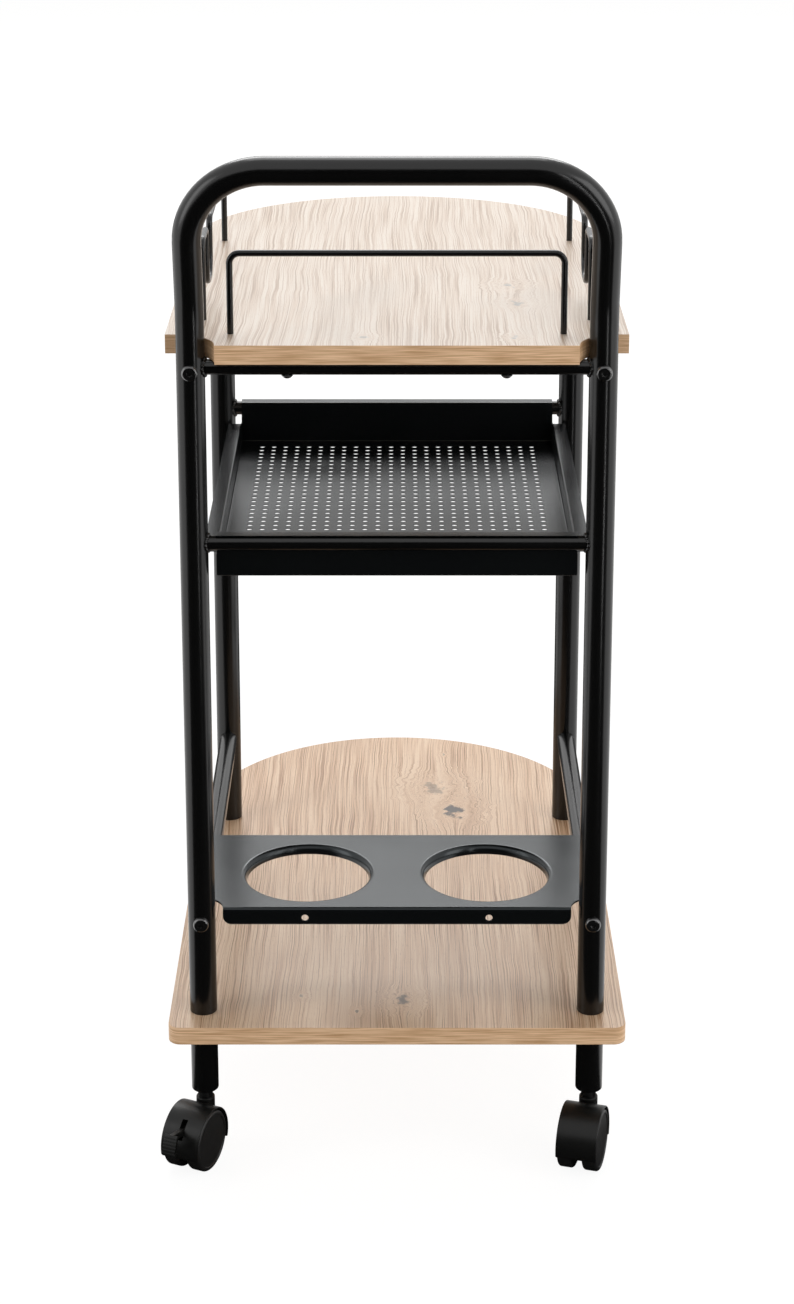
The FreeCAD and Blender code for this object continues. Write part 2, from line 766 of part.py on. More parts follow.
def brake_lever():
    """A lever on a pin in the hood, with an arm through the slot and a ribbed tab behind the fender."""
    half = lever_half_thickness
    fender = wheel_radius + hood_wheel_gap + hood_wall
    tab_inner = fender + lever_tab_gap
    tab_outer = tab_inner + lever_tab_thickness
    tab = sector(tab_outer, lever_tab_half_width, lever_tab_start_angle, lever_tab_end_angle)
    tab = tab.cut(across_cylinder(tab_inner, lever_tab_half_width, round_axle(0, 0)))
    pin = lever_pin()
    eye = across_cylinder(lever_eye_radius, half, pin)
    arm_end = round_axle(tab_outer - lever_tab_thickness / 2, lever_arm_angle)
    heading = (arm_end - pin).normalize()
    sideways = heading.cross(ACROSS) * lever_eye_radius
    narrow = sideways * lever_taper_share
    corners = [pin - sideways, pin + sideways, arm_end + narrow, arm_end - narrow]
    arm_face = Part.Face(Part.makePolygon(corners + corners[:1]))
    arm_face.translate(ACROSS * -half)
    lever = eye.fuse(arm_face.extrude(ACROSS * (2 * half))).fuse(tab)
    lever = lever.cut(across_cylinder(lever_pin_radius + running_gap, half, pin))
    for index in range(rib_count):
        share = (index + 0.5) / rib_count
        angle = lever_tab_start_angle + share * (lever_tab_end_angle - lever_tab_start_angle)
        base = round_axle(tab_outer - rib_depth, angle)
        outward = (base - round_axle(0, 0)).normalize()
        along = outward.cross(ACROSS) * (rib_width / 2)
        corners = [base - along, base + along,
                   base + along + outward * overrun, base - along + outward * overrun]
        groove = Part.Face(Part.makePolygon(corners + corners[:1]))
        groove.translate(ACROSS * -lever_tab_half_width)
        lever = lever.cut(groove.extrude(ACROSS * (2 * lever_tab_half_width)))
    return largest_solid(lever.removeSplitter())


def caster_place(caster):
    return V(caster["side"] * leg_offset, caster["end"] * leg_spacing, 0)


def caster_turn(caster):
    """How far a caster drawn with its wheels towards -Y is turned about its stem, seen from above."""
    return -caster["turn"]


def placed(shape, caster):
    """A caster piece turned about its stem and set under its foot."""
    moved = shape.copy()
    moved.rotate(V(0, 0, 0), UP, caster_turn(caster))
    moved.translate(caster_place(caster))
    return moved


def caster_nodes():
    nodes = {}
    for name, caster in CASTERS.items():
        pieces = {"caster_hood": caster_hood(caster["brake"]), "caster_stem": caster_stem(),
                  "caster_axle": caster_axle(), "caster_wheel_a": caster_wheel(-1),
                  "caster_wheel_b": caster_wheel(1)}
        if caster["brake"]:
            pieces["brake_lever"] = brake_lever()
        for piece, shape in pieces.items():
            nodes[piece + "_" + name] = placed(shape, caster)
    return nodes


def frame_nodes():
    rear = leg_spacing
    nodes = {
        "handle_frame": handle_frame(),
        "near_top_crossbar": crossbar(0, top_bar_height, True),
        "near_tray_crossbar": crossbar(0, tray_bar_height, False),
        "rear_top_crossbar": crossbar(rear, top_bar_height, True),
        "rear_tray_crossbar": crossbar(rear, tray_bar_height, False),
        "near_rail_bolts": rail_bolts(0, -1),
        "rear_rail_bolts": rail_bolts(rear, 1),
        "rail_inserts": rail_inserts(),
        "rear_leg_caps": rear_leg_caps(),
        "leg_inserts": leg_inserts(),
        "leg_studs": leg_studs(),
        "foot_plugs": foot_plugs(),
        "caster_sockets": caster_sockets(),
        "shelf_screws": shelf_screws(),
    }
    for side, x in (("left", -leg_offset), ("right", leg_offset)):
        nodes["rear_leg_" + side] = rear_leg(x)
        nodes["upper_side_rail_" + side] = side_rail(x, upper_rail_height)
        nodes["lower_side_rail_" + side] = side_rail(x, lower_rail_height)
        nodes["foot_tube_near_" + side] = foot_tube(x, 0)
        nodes["foot_tube_rear_" + side] = foot_tube(x, rear)
    return nodes


def shelf_nodes():
    return {
        "top_shelf": top_board(),
        "bottom_shelf": bottom_board(),
        "tray": tray(),
        "bottle_plate": bottle_plate(),
        "end_guard_rail": end_guard_rail(),
        "side_guard_rail_left": side_guard_rail(-side_guard_offset),
        "side_guard_rail_right": side_guard_rail(side_guard_offset),
    }


def all_nodes():
    """Every piece by name, with the origin under the middle of the whole cart."""
    nodes = {**frame_nodes(), **shelf_nodes(), **caster_nodes()}
    return nodes, centre_shift(nodes)


def centre_shift(nodes):
    """The move along Y that puts the origin midway between the cart's two ends."""
    boxes = [shape.optimalBoundingBox(False) for shape in nodes.values()]
    low = min(box.YMin for box in boxes)
    high = max(box.YMax for box in boxes)
    return ALONG * (-(low + high) / 2)


def main():
    os.makedirs("parts", exist_ok=True)
    nodes, shift = all_nodes()
    for name, shape in nodes.items():
        shape.translate(shift)
        if not shape.isValid():
            print("not valid:", name)
        shape.exportStep("parts/" + name + ".step")
    whole = Part.makeCompound(list(nodes.values())).optimalBoundingBox(False)
    print("nodes", len(nodes), "shift", round(shift.y, 3))
    print("x", round(whole.XMin, 2), round(whole.XMax, 2), "y", round(whole.YMin, 2),
          round(whole.YMax, 2), "z", round(whole.ZMin, 2), round(whole.ZMax, 2))


if __name__ == "__main__":
    main()
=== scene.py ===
# %% [markdown]
# # Serving cart
# The cart is a black powder-coated tube frame with two oak-decor boards, a perforated sheet tray,
# a plate with two bottle holes, wire guard rails and four twin-wheel casters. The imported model
# gives every piece its size and place. This file makes the surfaces that the eye sees, and each new
# piece stands for a plain solid.

# %% Load the frame
import json
import math

import bmesh
import bpy
from mathutils import Matrix, Vector


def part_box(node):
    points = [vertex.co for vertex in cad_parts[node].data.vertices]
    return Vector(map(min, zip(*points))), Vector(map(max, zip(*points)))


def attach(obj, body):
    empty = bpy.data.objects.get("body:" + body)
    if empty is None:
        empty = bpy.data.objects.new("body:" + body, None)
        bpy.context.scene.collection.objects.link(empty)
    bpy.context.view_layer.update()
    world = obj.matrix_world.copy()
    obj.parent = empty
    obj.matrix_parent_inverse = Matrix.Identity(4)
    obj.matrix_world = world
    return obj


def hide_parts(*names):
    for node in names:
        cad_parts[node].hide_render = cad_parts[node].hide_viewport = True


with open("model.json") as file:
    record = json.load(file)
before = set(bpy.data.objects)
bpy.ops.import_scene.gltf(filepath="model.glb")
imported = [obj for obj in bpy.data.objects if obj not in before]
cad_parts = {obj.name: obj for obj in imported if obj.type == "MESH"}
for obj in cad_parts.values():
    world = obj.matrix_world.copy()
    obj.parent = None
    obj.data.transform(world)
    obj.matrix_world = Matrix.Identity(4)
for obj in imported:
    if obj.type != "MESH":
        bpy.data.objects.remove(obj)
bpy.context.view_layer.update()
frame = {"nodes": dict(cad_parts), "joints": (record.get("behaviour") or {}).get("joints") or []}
joints = {joint["name"]: joint for joint in frame["joints"]}
mm = 0.001

# %% [markdown]
# ## Working by operators
# A primitive is added, shaped in edit mode and finished with modifiers. Operators act on whatever is
# selected, so small helpers clear the selection first and then pick parts by their place.

# %% Helpers for operators
merge_distance = 0.002 * mm
bar_sides = 48


def choose(obj):
    """Makes an object the active one and the only one selected."""
    bpy.ops.object.select_all(action="DESELECT")
    obj.select_set(True)
    bpy.context.view_layer.objects.active = obj


def add(primitive, **settings):
    """Adds a primitive with nothing else selected, and puts its place into its mesh."""
    bpy.ops.object.select_all(action="DESELECT")
    stretch = settings.pop("scale", (1, 1, 1))
    getattr(bpy.ops.mesh, "primitive_" + primitive + "_add")(**settings)
    bpy.context.object.scale = stretch
    bpy.ops.object.transform_apply(location=True, rotation=True, scale=True)
    return bpy.context.object


def edit(obj):
    choose(obj)
    bpy.ops.object.mode_set(mode="EDIT")


def leave():
    bpy.ops.object.mode_set(mode="OBJECT")


def take_all():
    bpy.ops.mesh.select_all(action="SELECT")


def pick(obj, kind, test):
    """In edit mode, selects only the VERT, EDGE or FACE parts that pass a test, and counts them."""
    bpy.ops.mesh.select_mode(type=kind)
    bpy.ops.mesh.select_all(action="DESELECT")
    mesh = bmesh.from_edit_mesh(obj.data)
    parts = {"VERT": mesh.verts, "EDGE": mesh.edges, "FACE": mesh.faces}[kind]
    chosen = [part for part in parts if test(part)]
    for part in chosen:
        part.select_set(True)
    mesh.select_flush_mode()
    bmesh.update_edit_mesh(obj.data)
    return len(chosen)


def lies_at(edge, axis, value):
    """An edge whose two ends lie at a value of X, Y or Z."""
    return all(abs(vert.co[axis] - value) < merge_distance for vert in edge.verts)


def move(offset):
    bpy.ops.mesh.extrude_region_move(TRANSFORM_OT_translate={"value": offset})


def modify(obj, kind, **settings):
    """Adds a modifier and applies it at once."""
    choose(obj)
    modifier = obj.modifiers.new(kind.title(), kind)
    for name, value in settings.items():
        setattr(modifier, name, value)
    bpy.ops.object.modifier_apply(modifier=modifier.name)


def ease(obj, width, segments=3, angle=40):
    """Rounds every edge that is sharper than an angle in degrees."""
    modify(obj, "BEVEL", width=width, segments=segments, limit_method="ANGLE",
           angle_limit=math.radians(angle), harden_normals=False)


def cut(obj, cutter):
    """Cuts one mesh with another and removes the cutter."""
    modify(obj, "BOOLEAN", operation="DIFFERENCE", object=cutter, solver="EXACT")
    bpy.data.objects.remove(cutter)


def join(pieces):
    """Makes one object of several; the first one keeps its name."""
    bpy.ops.object.select_all(action="DESELECT")
    for piece in pieces:
        piece.select_set(True)
    bpy.context.view_layer.objects.active = pieces[0]
    bpy.ops.object.join()
    return pieces[0]


def outward(obj):
    """Merges doubles and points every face outwards."""
    edit(obj)
    take_all()
    bpy.ops.mesh.remove_doubles(threshold=merge_distance)
    bpy.ops.mesh.normals_make_consistent(inside=False)
    leave()


def block(corner, opposite):
    """A box between two opposite corners, used as a cutter."""
    corner, opposite = Vector(corner), Vector(opposite)
    lengths = [abs(length) for length in opposite - corner]
    return add("cube", size=1, location=(corner + opposite) / 2, scale=lengths)


def rod(start, end, radius, sides=bar_sides):
    """A closed cylinder between two points."""
    heading = Vector(end) - Vector(start)
    return add("cylinder", vertices=sides, radius=radius, depth=heading.length,
               location=(Vector(start) + Vector(end)) / 2,
               rotation=heading.to_track_quat("Z", "Y").to_euler())


def post(x, y, low, high, radius, sides=bar_sides):
    """An upright cylinder from one height to another."""
    return rod((x, y, low), (x, y, high), radius, sides)


# %% [markdown]
# ## Materials
# Colours are written as sRGB hex and turned to linear by one function. One function adds a node with
# its settings and links. Patterns read Object coordinates, and their scales come from real sizes.

# %% Helpers for materials
def linear(hex_colour):
    """An sRGB hex colour as linear RGBA."""
    channels = [int(hex_colour[i:i + 2], 16) / 255 for i in (1, 3, 5)]
    return [c / 12.92 if c <= 0.04045 else ((c + 0.055) / 1.055) ** 2.4 for c in channels] + [1.0]


def add_node(material, kind, inputs=None, **settings):
    """Adds one node; inputs maps a socket name or number to a value or to another socket."""
    node = material.node_tree.nodes.new("ShaderNode" + kind)
    for name, value in settings.items():
        setattr(node, name, value)
    for name, value in (inputs or {}).items():
        if isinstance(value, bpy.types.NodeSocket):
            node.id_data.links.new(value, node.inputs[name])
        else:
            node.inputs[name].default_value = value
    return node


def new_material(name, **shader_values):
    """A material with its shader's uniform values set on the shader's own sockets."""
    material = bpy.data.materials.new(name)
    material.use_nodes = True
    shader = material.node_tree.nodes["Principled BSDF"]
    for socket, value in shader_values.items():
        shader.inputs[socket.replace("_", " ")].default_value = value
    print("material", name)
    return material, shader


def per_metre(size_mm):
    """The texture scale at which one noise cell is a given size in millimetres."""
    return 1 / (size_mm * mm)


def feed(node, **sources):
    """Links patterns to a node's sockets."""
    for socket, source in sources.items():
        node.id_data.links.new(source, node.inputs[socket.replace("_", " ")])


def object_place(material):
    return add_node(material, "TexCoord").outputs["Object"]


def noise(material, detail, scale=1.0, kind="3D", **inputs):
    """Noise by its place and scale; W is the place in 1D and the seed in 4D."""
    return add_node(material, "TexNoise", {"Scale": scale, "Detail": detail, **inputs},
                    noise_dimensions=kind).outputs["Fac"]


def stretched(material, vector, cells_mm):
    """A place counted in cells of a given size along X, Y and Z."""
    scale = [per_metre(cell) for cell in cells_mm]
    return add_node(material, "Mapping", {"Vector": vector, "Scale": scale}).outputs[0]


def ramped(material, value, low, high, at_low, at_high, kind="SMOOTHSTEP"):
    """Goes from one result to another while a value goes from low to high."""
    return add_node(material, "MapRange",
                    {"Value": value, "From Min": low, "From Max": high, "To Min": at_low,
                     "To Max": at_high}, interpolation_type=kind).outputs["Result"]


def colour_ramp(material, value, *stops):
    """Colours by value; each stop is a position and a hex colour, in rising order."""
    ramp = add_node(material, "ValToRGB", {"Fac": value})
    elements = ramp.color_ramp.elements
    for element, (position, colour) in zip(elements, (stops[0], stops[-1])):
        element.position, element.color = position, linear(colour)
    for position, colour in stops[1:-1]:
        elements.new(position).color = linear(colour)
    return ramp.outputs["Color"]


def bump(material, height, strength, depth_mm, **settings):
    return add_node(material, "Bump", {"Height": height, "Strength": strength,
                                       "Distance": depth_mm * mm}, **settings).outputs["Normal"]


# %% [markdown]
# ### Powder coat and moulded nylon
# Both black skins have a fine even grain and a gloss that wanders, as handling leaves it, so one
# function makes them. Steel is sprayed with polyester powder and baked: the coat flows into a satin
# skin with a faint orange peel. On the folded sheets a slightly bluish base and a cool tint on the
# reflections are painted light, standing in for the cool light that the sheets mirror. Hoods, wheels and
# plugs are moulded in nylon with the mould's finer spark texture; the hoods shine less.

# %% Powder coat and nylon
peel_mm, spark_mm = 1.1, 0.7
handled_mm, scuff_mm = 60, 9
grain_depth_mm = 0.05


def black_skin(name, colour, roughness, grain_mm, strength, patch_mm, glossier, duller, **values):
    """A black surface whose roughness wanders between two limits round its mean."""
    material, shader = new_material(name, Base_Color=linear(colour), Roughness=roughness, **values)
    place = object_place(material)
    patches = noise(material, 3.0, per_metre(patch_mm), Vector=place)
    gloss = ramped(material, patches, 0.0, 1.0, roughness - glossier, roughness + duller, "LINEAR")
    grain = noise(material, 2.0, per_metre(grain_mm), Vector=place)
    feed(shader, Roughness=gloss, Normal=bump(material, grain, strength, grain_depth_mm))
    return material


def powder_coat(name, colour, roughness, peel, painted_reflection_tint="#FFFFFF"):
    return black_skin(name, colour, roughness, peel_mm, peel, handled_mm, 0.05, 0.07, IOR=1.5,
                      Specular_Tint=linear(painted_reflection_tint))


def moulded_nylon(name, colour, roughness, spark, shine=0.5):
    return black_skin(name, colour, roughness, spark_mm, spark, scuff_mm, 0.06, 0.08, IOR=1.53,
                      Specular_IOR_Level=shine)


tube_coat = powder_coat("black_powder_coated_tube", "#070707", 0.2, 0.35)
# The sheet's slightly bluish base and cool reflection tint are a painted reflection of cool light, not
# the coat's own colour.
sheet_coat = powder_coat("black_powder_coated_sheet", "#090B0C", 0.22, 0.22, painted_reflection_tint="#EBF4F8")
wire_coat = powder_coat("black_powder_coated_wire", "#070707", 0.22, 0.2)
hood_nylon = moulded_nylon("black_moulded_nylon_hood", "#0E0E0D", 0.34, 0.3, shine=0.28)
wheel_nylon = moulded_nylon("black_moulded_nylon_wheel", "#141312", 0.46, 0.7)
plug_nylon = moulded_nylon("black_moulded_nylon_plug", "#0C0C0C", 0.5, 0.3)

# %% [markdown]
# ### Black screws and steel
# The bolts are black-oxided steel, glossier than the tube, under a thin clear film of oil. Axles and
# studs are zinc-plated steel, which stays inside other pieces.

# %% Screws and plain steel
spangle_mm = 2
screw_black, _ = new_material("black_oxide_screws", Base_Color=linear("#060606"), Roughness=0.14,
                              IOR=1.7, Coat_Weight=1.0, Coat_Roughness=0.05)
zinc, zinc_shader = new_material("zinc_plated_steel", Base_Color=linear("#B9BCC0"), Metallic=1.0)
spangle = noise(zinc, 2.0, per_metre(spangle_mm), Vector=object_place(zinc))
feed(zinc_shader, Roughness=ramped(zinc, spangle, 0.0, 1.0, 0.25, 0.45, "LINEAR"))

# %% [markdown]
# ### Oak decor board
# The boards are chipboard with a melamine oak decor. The printed figure runs along the cart: fine
# streaks about a millimetre wide that sway a little, softer veins and bands, short dark pores and
# grey clouds. Round each knot the streaks spread apart and turn to rings, and its ragged middle is
# dark. All of it is noise stretched along the grain, so it has no seam.

# %% Parts of the oak figure
knot_width_share = 0.7
ragged_cell_share = 0.5
raggedness = 3.0
texture_depth_mm = 40


def field(material, vector, cell_mm, detail, seed):
    """Noise whose cells have a given width along X and length along Y, in millimetres."""
    place = stretched(material, vector, (*cell_mm, texture_depth_mm))
    return noise(material, detail, kind="4D", Vector=place, W=seed)


def calc(material, operation, *values):
    return add_node(material, "Math", dict(enumerate(values)), operation=operation).outputs[0]


def vector_calc(material, operation, *values):
    return add_node(material, "VectorMath", dict(enumerate(values)), operation=operation)


def blend(material, share, first, second):
    return add_node(material, "Mix", {"Factor": share, 6: first, 7: second},
                    data_type="RGBA").outputs[2]


def mixed(material, share, first, second):
    return add_node(material, "Mix", {"Factor": share, 2: first, 3: second}).outputs[0]


def knot_reach(material, offset, half_length, seed):
    """How far a point lies from a ragged knot's middle, in the knot's half lengths."""
    scale = (per_metre(half_length * knot_width_share), per_metre(half_length), 0)
    squashed = vector_calc(material, "MULTIPLY", offset, scale).outputs[0]
    reach = vector_calc(material, "LENGTH", squashed).outputs["Value"]
    ragged_cell = half_length * ragged_cell_share
    ragged = field(material, offset, (ragged_cell, ragged_cell), 3.0, seed)
    return calc(material, "MULTIPLY_ADD", calc(material, "SUBTRACT", ragged, 0.5), raggedness, reach)


# %% [markdown]
# ### Figure and colours of the oak
# The sways shift the place across the grain before the streaks are drawn, and each knot pushes it
# outwards. Streaks, veins and bands add up to one value, and a ramp of three colours reads it. Each
# ramp below is written as from, to, result at from, result at to.

# %% Oak decor
streak_mm = (0.9, 150)
vein_mm = (3.2, 260)
band_mm = (26, 600)
pore_mm = (0.6, 8)
cloud_mm = (80, 150)
sway_cell_mm, sway_mm = (110, 230), 16
ripple_cell_mm, ripple_mm = (34, 26), 2.2
ring_mm = 2.2
vein_weight, band_weight = 0.3, 0.2
spread_ramp = (0.0, 3.0, -0.7, 0.0)
ring_ramp = (0.8, 2.3, 0.8, 0.0)
core_from, core_to = 0.2, 0.55
cloud_ramp = (0.48, 0.72, 0.0, 0.45)
pore_ramp = (0.6, 0.7, 0.0, 0.4)
sheen_ramp = (0.3, 0.7, 0.32, 0.42)
dark_stop, middle_stop, pale_stop = 0.35, 0.47, 0.59
pore_depth_mm = 0.1


def oak_decor(name, pale, middle, dark, grey, knot_colour, knots, seed):
    """Knots are (x, y, half length, darkness) in millimetres in the cart's frame."""
    material, shader = new_material(name, Roughness=0.36, IOR=1.5)
    place = object_place(material)
    axes = add_node(material, "SeparateXYZ", {0: place})
    sway = field(material, place, sway_cell_mm, 2.0, seed)
    ripple = field(material, place, ripple_cell_mm, 1.0, seed + 7)
    across = calc(material, "MULTIPLY_ADD", sway, sway_mm * mm, axes.outputs["X"])
    across = calc(material, "MULTIPLY_ADD", ripple, ripple_mm * mm, across)
    shade, rings, ring_share = 0.0, 0.5, 0.0
    for x, y, half_length, darkness in knots:
        offset = vector_calc(material, "ADD", place, (-x * mm, -y * mm, 0)).outputs[0]
        offset_x = add_node(material, "SeparateXYZ", {0: offset}).outputs["X"]
        reach = knot_reach(material, offset, half_length, seed + x)
        spread = ramped(material, reach, *spread_ramp)
        across = calc(material, "MULTIPLY_ADD", spread, offset_x, across)
        ring = noise(material, 2.0, kind="1D",
                     W=calc(material, "MULTIPLY", reach, half_length / ring_mm))
        here = ramped(material, reach, *ring_ramp)
        rings = mixed(material, here, rings, ring)
        ring_share = calc(material, "MAXIMUM", ring_share, here)
        core = ramped(material, reach, core_from, core_to, darkness, 0.0)
        shade = calc(material, "MAXIMUM", shade, core)
    flow = add_node(material, "CombineXYZ", {0: across, 1: axes.outputs["Y"]}).outputs[0]
    streaks = mixed(material, ring_share, field(material, flow, streak_mm, 2.0, seed + 1), rings)
    veins = field(material, flow, vein_mm, 2.0, seed + 2)
    bands = field(material, flow, band_mm, 2.0, seed + 3)
    pores = field(material, flow, pore_mm, 1.0, seed + 4)
    clouds = field(material, place, cloud_mm, 3.0, seed + 5)
    figure = calc(material, "MULTIPLY_ADD", veins, vein_weight, streaks)
    figure = calc(material, "SUBTRACT", figure, (vein_weight + band_weight) / 2)
    figure = calc(material, "MULTIPLY_ADD", bands, band_weight, figure)
    colour = colour_ramp(material, figure, (dark_stop, dark), (middle_stop, middle), (pale_stop, pale))
    colour = blend(material, ramped(material, clouds, *cloud_ramp), colour, linear(grey))
    colour = blend(material, ramped(material, pores, *pore_ramp), colour, linear(dark))
    colour = blend(material, shade, colour, linear(knot_colour))
    feed(shader, Base_Color=colour, Roughness=ramped(material, streaks, *sheen_ramp, "LINEAR"),
         Normal=bump(material, pores, 0.1, pore_depth_mm, invert=True))
    return material


top_knots = [(91, -76, 13, 0.5), (97, -137, 12, 0.6), (-25, -243, 8, 0.45), (90, -243, 8, 0.5)]
bottom_knots = [(54, 135, 19, 1.0), (36, 189, 22, 0.5), (46, 269, 4, 0.6), (5, -237, 12, 0.85),
                (-32, -255, 5, 0.8), (-78, -230, 5, 0.6)]
# Both boards carry one decor. The top copy's paler, greyer colours are painted light, and the bottom
# copy's darker, warmer colours are painted shade under the top board.
top_decor_painted_light = oak_decor("oak_decor_melamine_top_painted_light", "#E6D8C9", "#D6C0AB", "#B2957C", "#C9BBAC", "#7B7F82",
                      top_knots, 3.0)
bottom_decor_painted_shade = oak_decor("oak_decor_melamine_bottom_painted_shade", "#ECCEAF", "#D6AF8B", "#A07552", "#BB9778",
                         "#4A3E36", bottom_knots, 11.0)

# %% [markdown]
# ### Edge band
# The board's rim is a glued band with the same decor, cut so that its grain runs along the edge. It
# is warmer and a little darker than the face. The streaks are thin layers in height and very long
# the other ways.

# %% Edge band
layer_mm = (34, 34, 1.0)


def edge_band(name, pale, dark):
    material, shader = new_material(name, Roughness=0.45, IOR=1.5)
    layers = noise(material, 5.0, Vector=stretched(material, object_place(material), layer_mm))
    feed(shader, Base_Color=colour_ramp(material, layers, (0.34, dark), (0.64, pale)),
         Normal=bump(material, layers, 0.15, pore_depth_mm))
    return material


board_band = edge_band("oak_decor_edge_band", "#F0C9A1", "#C2976B")

# %% [markdown]
# ## Finishing a piece
# Each finished piece gets its material, smooth shading except over sharp edges, normals that keep the
# large faces flat and the body it moves with, and the plain node that it stands for is hidden.

# %% Finish one piece
smooth_angle = 35


def dress(obj, name, material, nodes, body="root", smooth=smooth_angle):
    obj.name = name
    if not obj.data.materials:
        obj.data.materials.append(material)
    choose(obj)
    bpy.ops.object.shade_smooth_by_angle(angle=math.radians(smooth))
    modify(obj, "WEIGHTED_NORMAL", keep_sharp=True)
    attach(obj, body)
    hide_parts(*nodes)
    print(name, len(obj.data.polygons), "faces")


def dress_tube(obj, name, *nodes):
    dress(obj, name, tube_coat, nodes)


# %% [markdown]
# ## Main places
# The legs, boards and bars are read from the frame, so the visible pieces land where the solids are.

# %% Places from the frame
def middle(node):
    low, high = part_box(node)
    return (low + high) / 2


def size(node):
    low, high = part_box(node)
    return high - low


tube_radius = size("foot_tube_near_left").x / 2
leg_x = middle("foot_tube_near_right").x
near_y = middle("foot_tube_near_right").y
rear_y = middle("foot_tube_rear_right").y
board_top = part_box("top_shelf")[1].z
sides = {"left": -1, "right": 1}
print("tube", tube_radius, "leg", leg_x, near_y, rear_y)

# %% [markdown]
# ## Bent tube and wire
# A tube bender feeds straight tube and swings it round a former, so the shape is straight runs and
# round bends. Here a circle is extruded along each run and spun round each bend, and its two ends are
# closed and slightly rounded.

# %% Bent bar
bend_step = 5
end_slack_share = 1.01


def bent_bar(points, bends, radius, end_round):
    """A round bar along straight runs, with one bend radius at each inner point."""
    points = [Vector(point) for point in points]
    heading = (points[1] - points[0]).normalized()
    obj = add("circle", vertices=bar_sides, radius=radius, location=points[0],
              rotation=heading.to_track_quat("Z", "Y").to_euler())
    edit(obj)
    take_all()
    run_start = points[0]
    for index, bend in enumerate(bends, 1):
        corner = points[index]
        back = (points[index - 1] - corner).normalized()
        ahead = (points[index + 1] - corner).normalized()
        turn = math.pi - back.angle(ahead)
        setback = bend * math.tan(turn / 2)
        centre = corner + (back + ahead).normalized() * (bend / math.cos(turn / 2))
        move(corner + back * setback - run_start)
        steps = max(2, round(math.degrees(turn) / bend_step))
        bpy.ops.mesh.spin(steps=steps, angle=-turn, center=centre,
                          axis=ahead.cross(back).normalized())
        run_start = corner + ahead * setback
    move(points[-1] - run_start)
    for end in (points[0], points[-1]):
        pick(obj, "EDGE", lambda edge: edge.is_boundary
             and all((vert.co - end).length < end_slack_share * radius for vert in edge.verts))
        bpy.ops.mesh.edge_face_add()
    leave()
    outward(obj)
    ease(obj, end_round, angle=50)
    return obj


# %% [markdown]
# ## Handle and near legs
# One tube makes both legs and the handle. Above the top board it kinks forward, then bends twice
# round to the cross piece that the hand holds.

# %% Handle frame
kink_rise = 24 * mm
kink_bend = 80 * mm
handle_bend = 59 * mm
tube_end_round = 1.2 * mm
handle_low, handle_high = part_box("handle_frame")
handle_y = handle_low.y + tube_radius
handle_z = handle_high.z - tube_radius
kink_z = board_top + kink_rise
handle = bent_bar([(-leg_x, near_y, handle_low.z), (-leg_x, near_y, kink_z),
                   (-leg_x, handle_y, handle_z), (leg_x, handle_y, handle_z),
                   (leg_x, near_y, kink_z), (leg_x, near_y, handle_low.z)],
                  [kink_bend, handle_bend, handle_bend, kink_bend], tube_radius, tube_end_round)
dress_tube(handle, "handle_and_near_legs", "handle_frame")

# %% [markdown]
# ## Straight tubes
# The rear legs, feet, side rails and crossbars are cut tube. Their ends are cylinders with a rolled
# edge; where a bar meets a leg, its end runs a little way into the leg, as a fitted end looks.

# %% Straight tubes
ends = ("near", "rear")
crossbars = [end + "_" + level for end in ends for level in ("top", "tray")]


def upright(node):
    low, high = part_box(node)
    centre = middle(node)
    tube = post(centre.x, centre.y, low.z, high.z, size(node).x / 2)
    ease(tube, tube_end_round)
    return tube


def lying_bar(node, axis):
    """A bar along X or Y, as thick as its node is high."""
    low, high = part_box(node)
    start, end = middle(node), middle(node)
    start[axis], end[axis] = low[axis], high[axis]
    return rod(start, end, size(node).z / 2)


for side in sides:
    dress_tube(upright("rear_leg_" + side), "rear_leg_tube_" + side, "rear_leg_" + side)
    for end in ends:
        node = "foot_tube_" + end + "_" + side
        dress_tube(upright(node), "foot_" + end + "_" + side, node)
    for level in ("upper", "lower"):
        node = level + "_side_rail_" + side
        dress_tube(lying_bar(node, 1), node + "_tube", node)
for crossbar in crossbars:
    node = crossbar + "_crossbar"
    dress_tube(lying_bar(node, 0), node + "_tube", node)

# %% [markdown]
# ## Weld beads
# Each crossbar is welded to the legs all round. A weld is a row of small overlapping puddles, so the
# bead is a ring whose thickness ripples, laid on the saddle line where bar and leg meet.

# %% Weld beads
bead_radius = 1.5 * mm
bead_ripples = 14
ripple_share = 0.22
bead_offset = 0.3 * mm


def weld_bead(node, side):
    centre = middle(node)
    ring_radius = size(node).z / 2 + bead_offset
    ring = add("torus", major_radius=ring_radius, minor_radius=bead_radius, major_segments=84,
               minor_segments=12, rotation=(0, math.radians(90), 0))
    for vert in ring.data.vertices:
        angle = math.atan2(vert.co.z, vert.co.y)
        around = Vector((0, math.cos(angle), math.sin(angle))) * ring_radius
        swell = 1 + ripple_share * math.sin(bead_ripples * angle)
        vert.co = around + (vert.co - around) * swell
        saddle = math.sqrt(max(tube_radius ** 2 - around.y ** 2, 0))
        vert.co += Vector((side * (leg_x - saddle), centre.y, centre.z))
    return ring


for crossbar in crossbars:
    beads = join([weld_bead(crossbar + "_crossbar", side) for side in sides.values()])
    dress_tube(beads, "weld_beads_" + crossbar)

# %% [markdown]
# ## Dome-head bolts and board screws
# Socket bolts go through the legs into the side rails. The head is a short cylinder with a well
# rounded rim and a hexagonal socket. The screws under the top board have a plain low dome.

# %% Bolts and screws
bolt_head_radius = 6.2 * mm
bolt_head_proud = 3.4 * mm
bolt_head_sunk = 3 * mm
bolt_dome = 2.2 * mm
bolt_length, bolt_radius = 26 * mm, 3 * mm
socket_radius = 2.3 * mm
socket_depth = 2.0 * mm
socket_round = 0.2 * mm


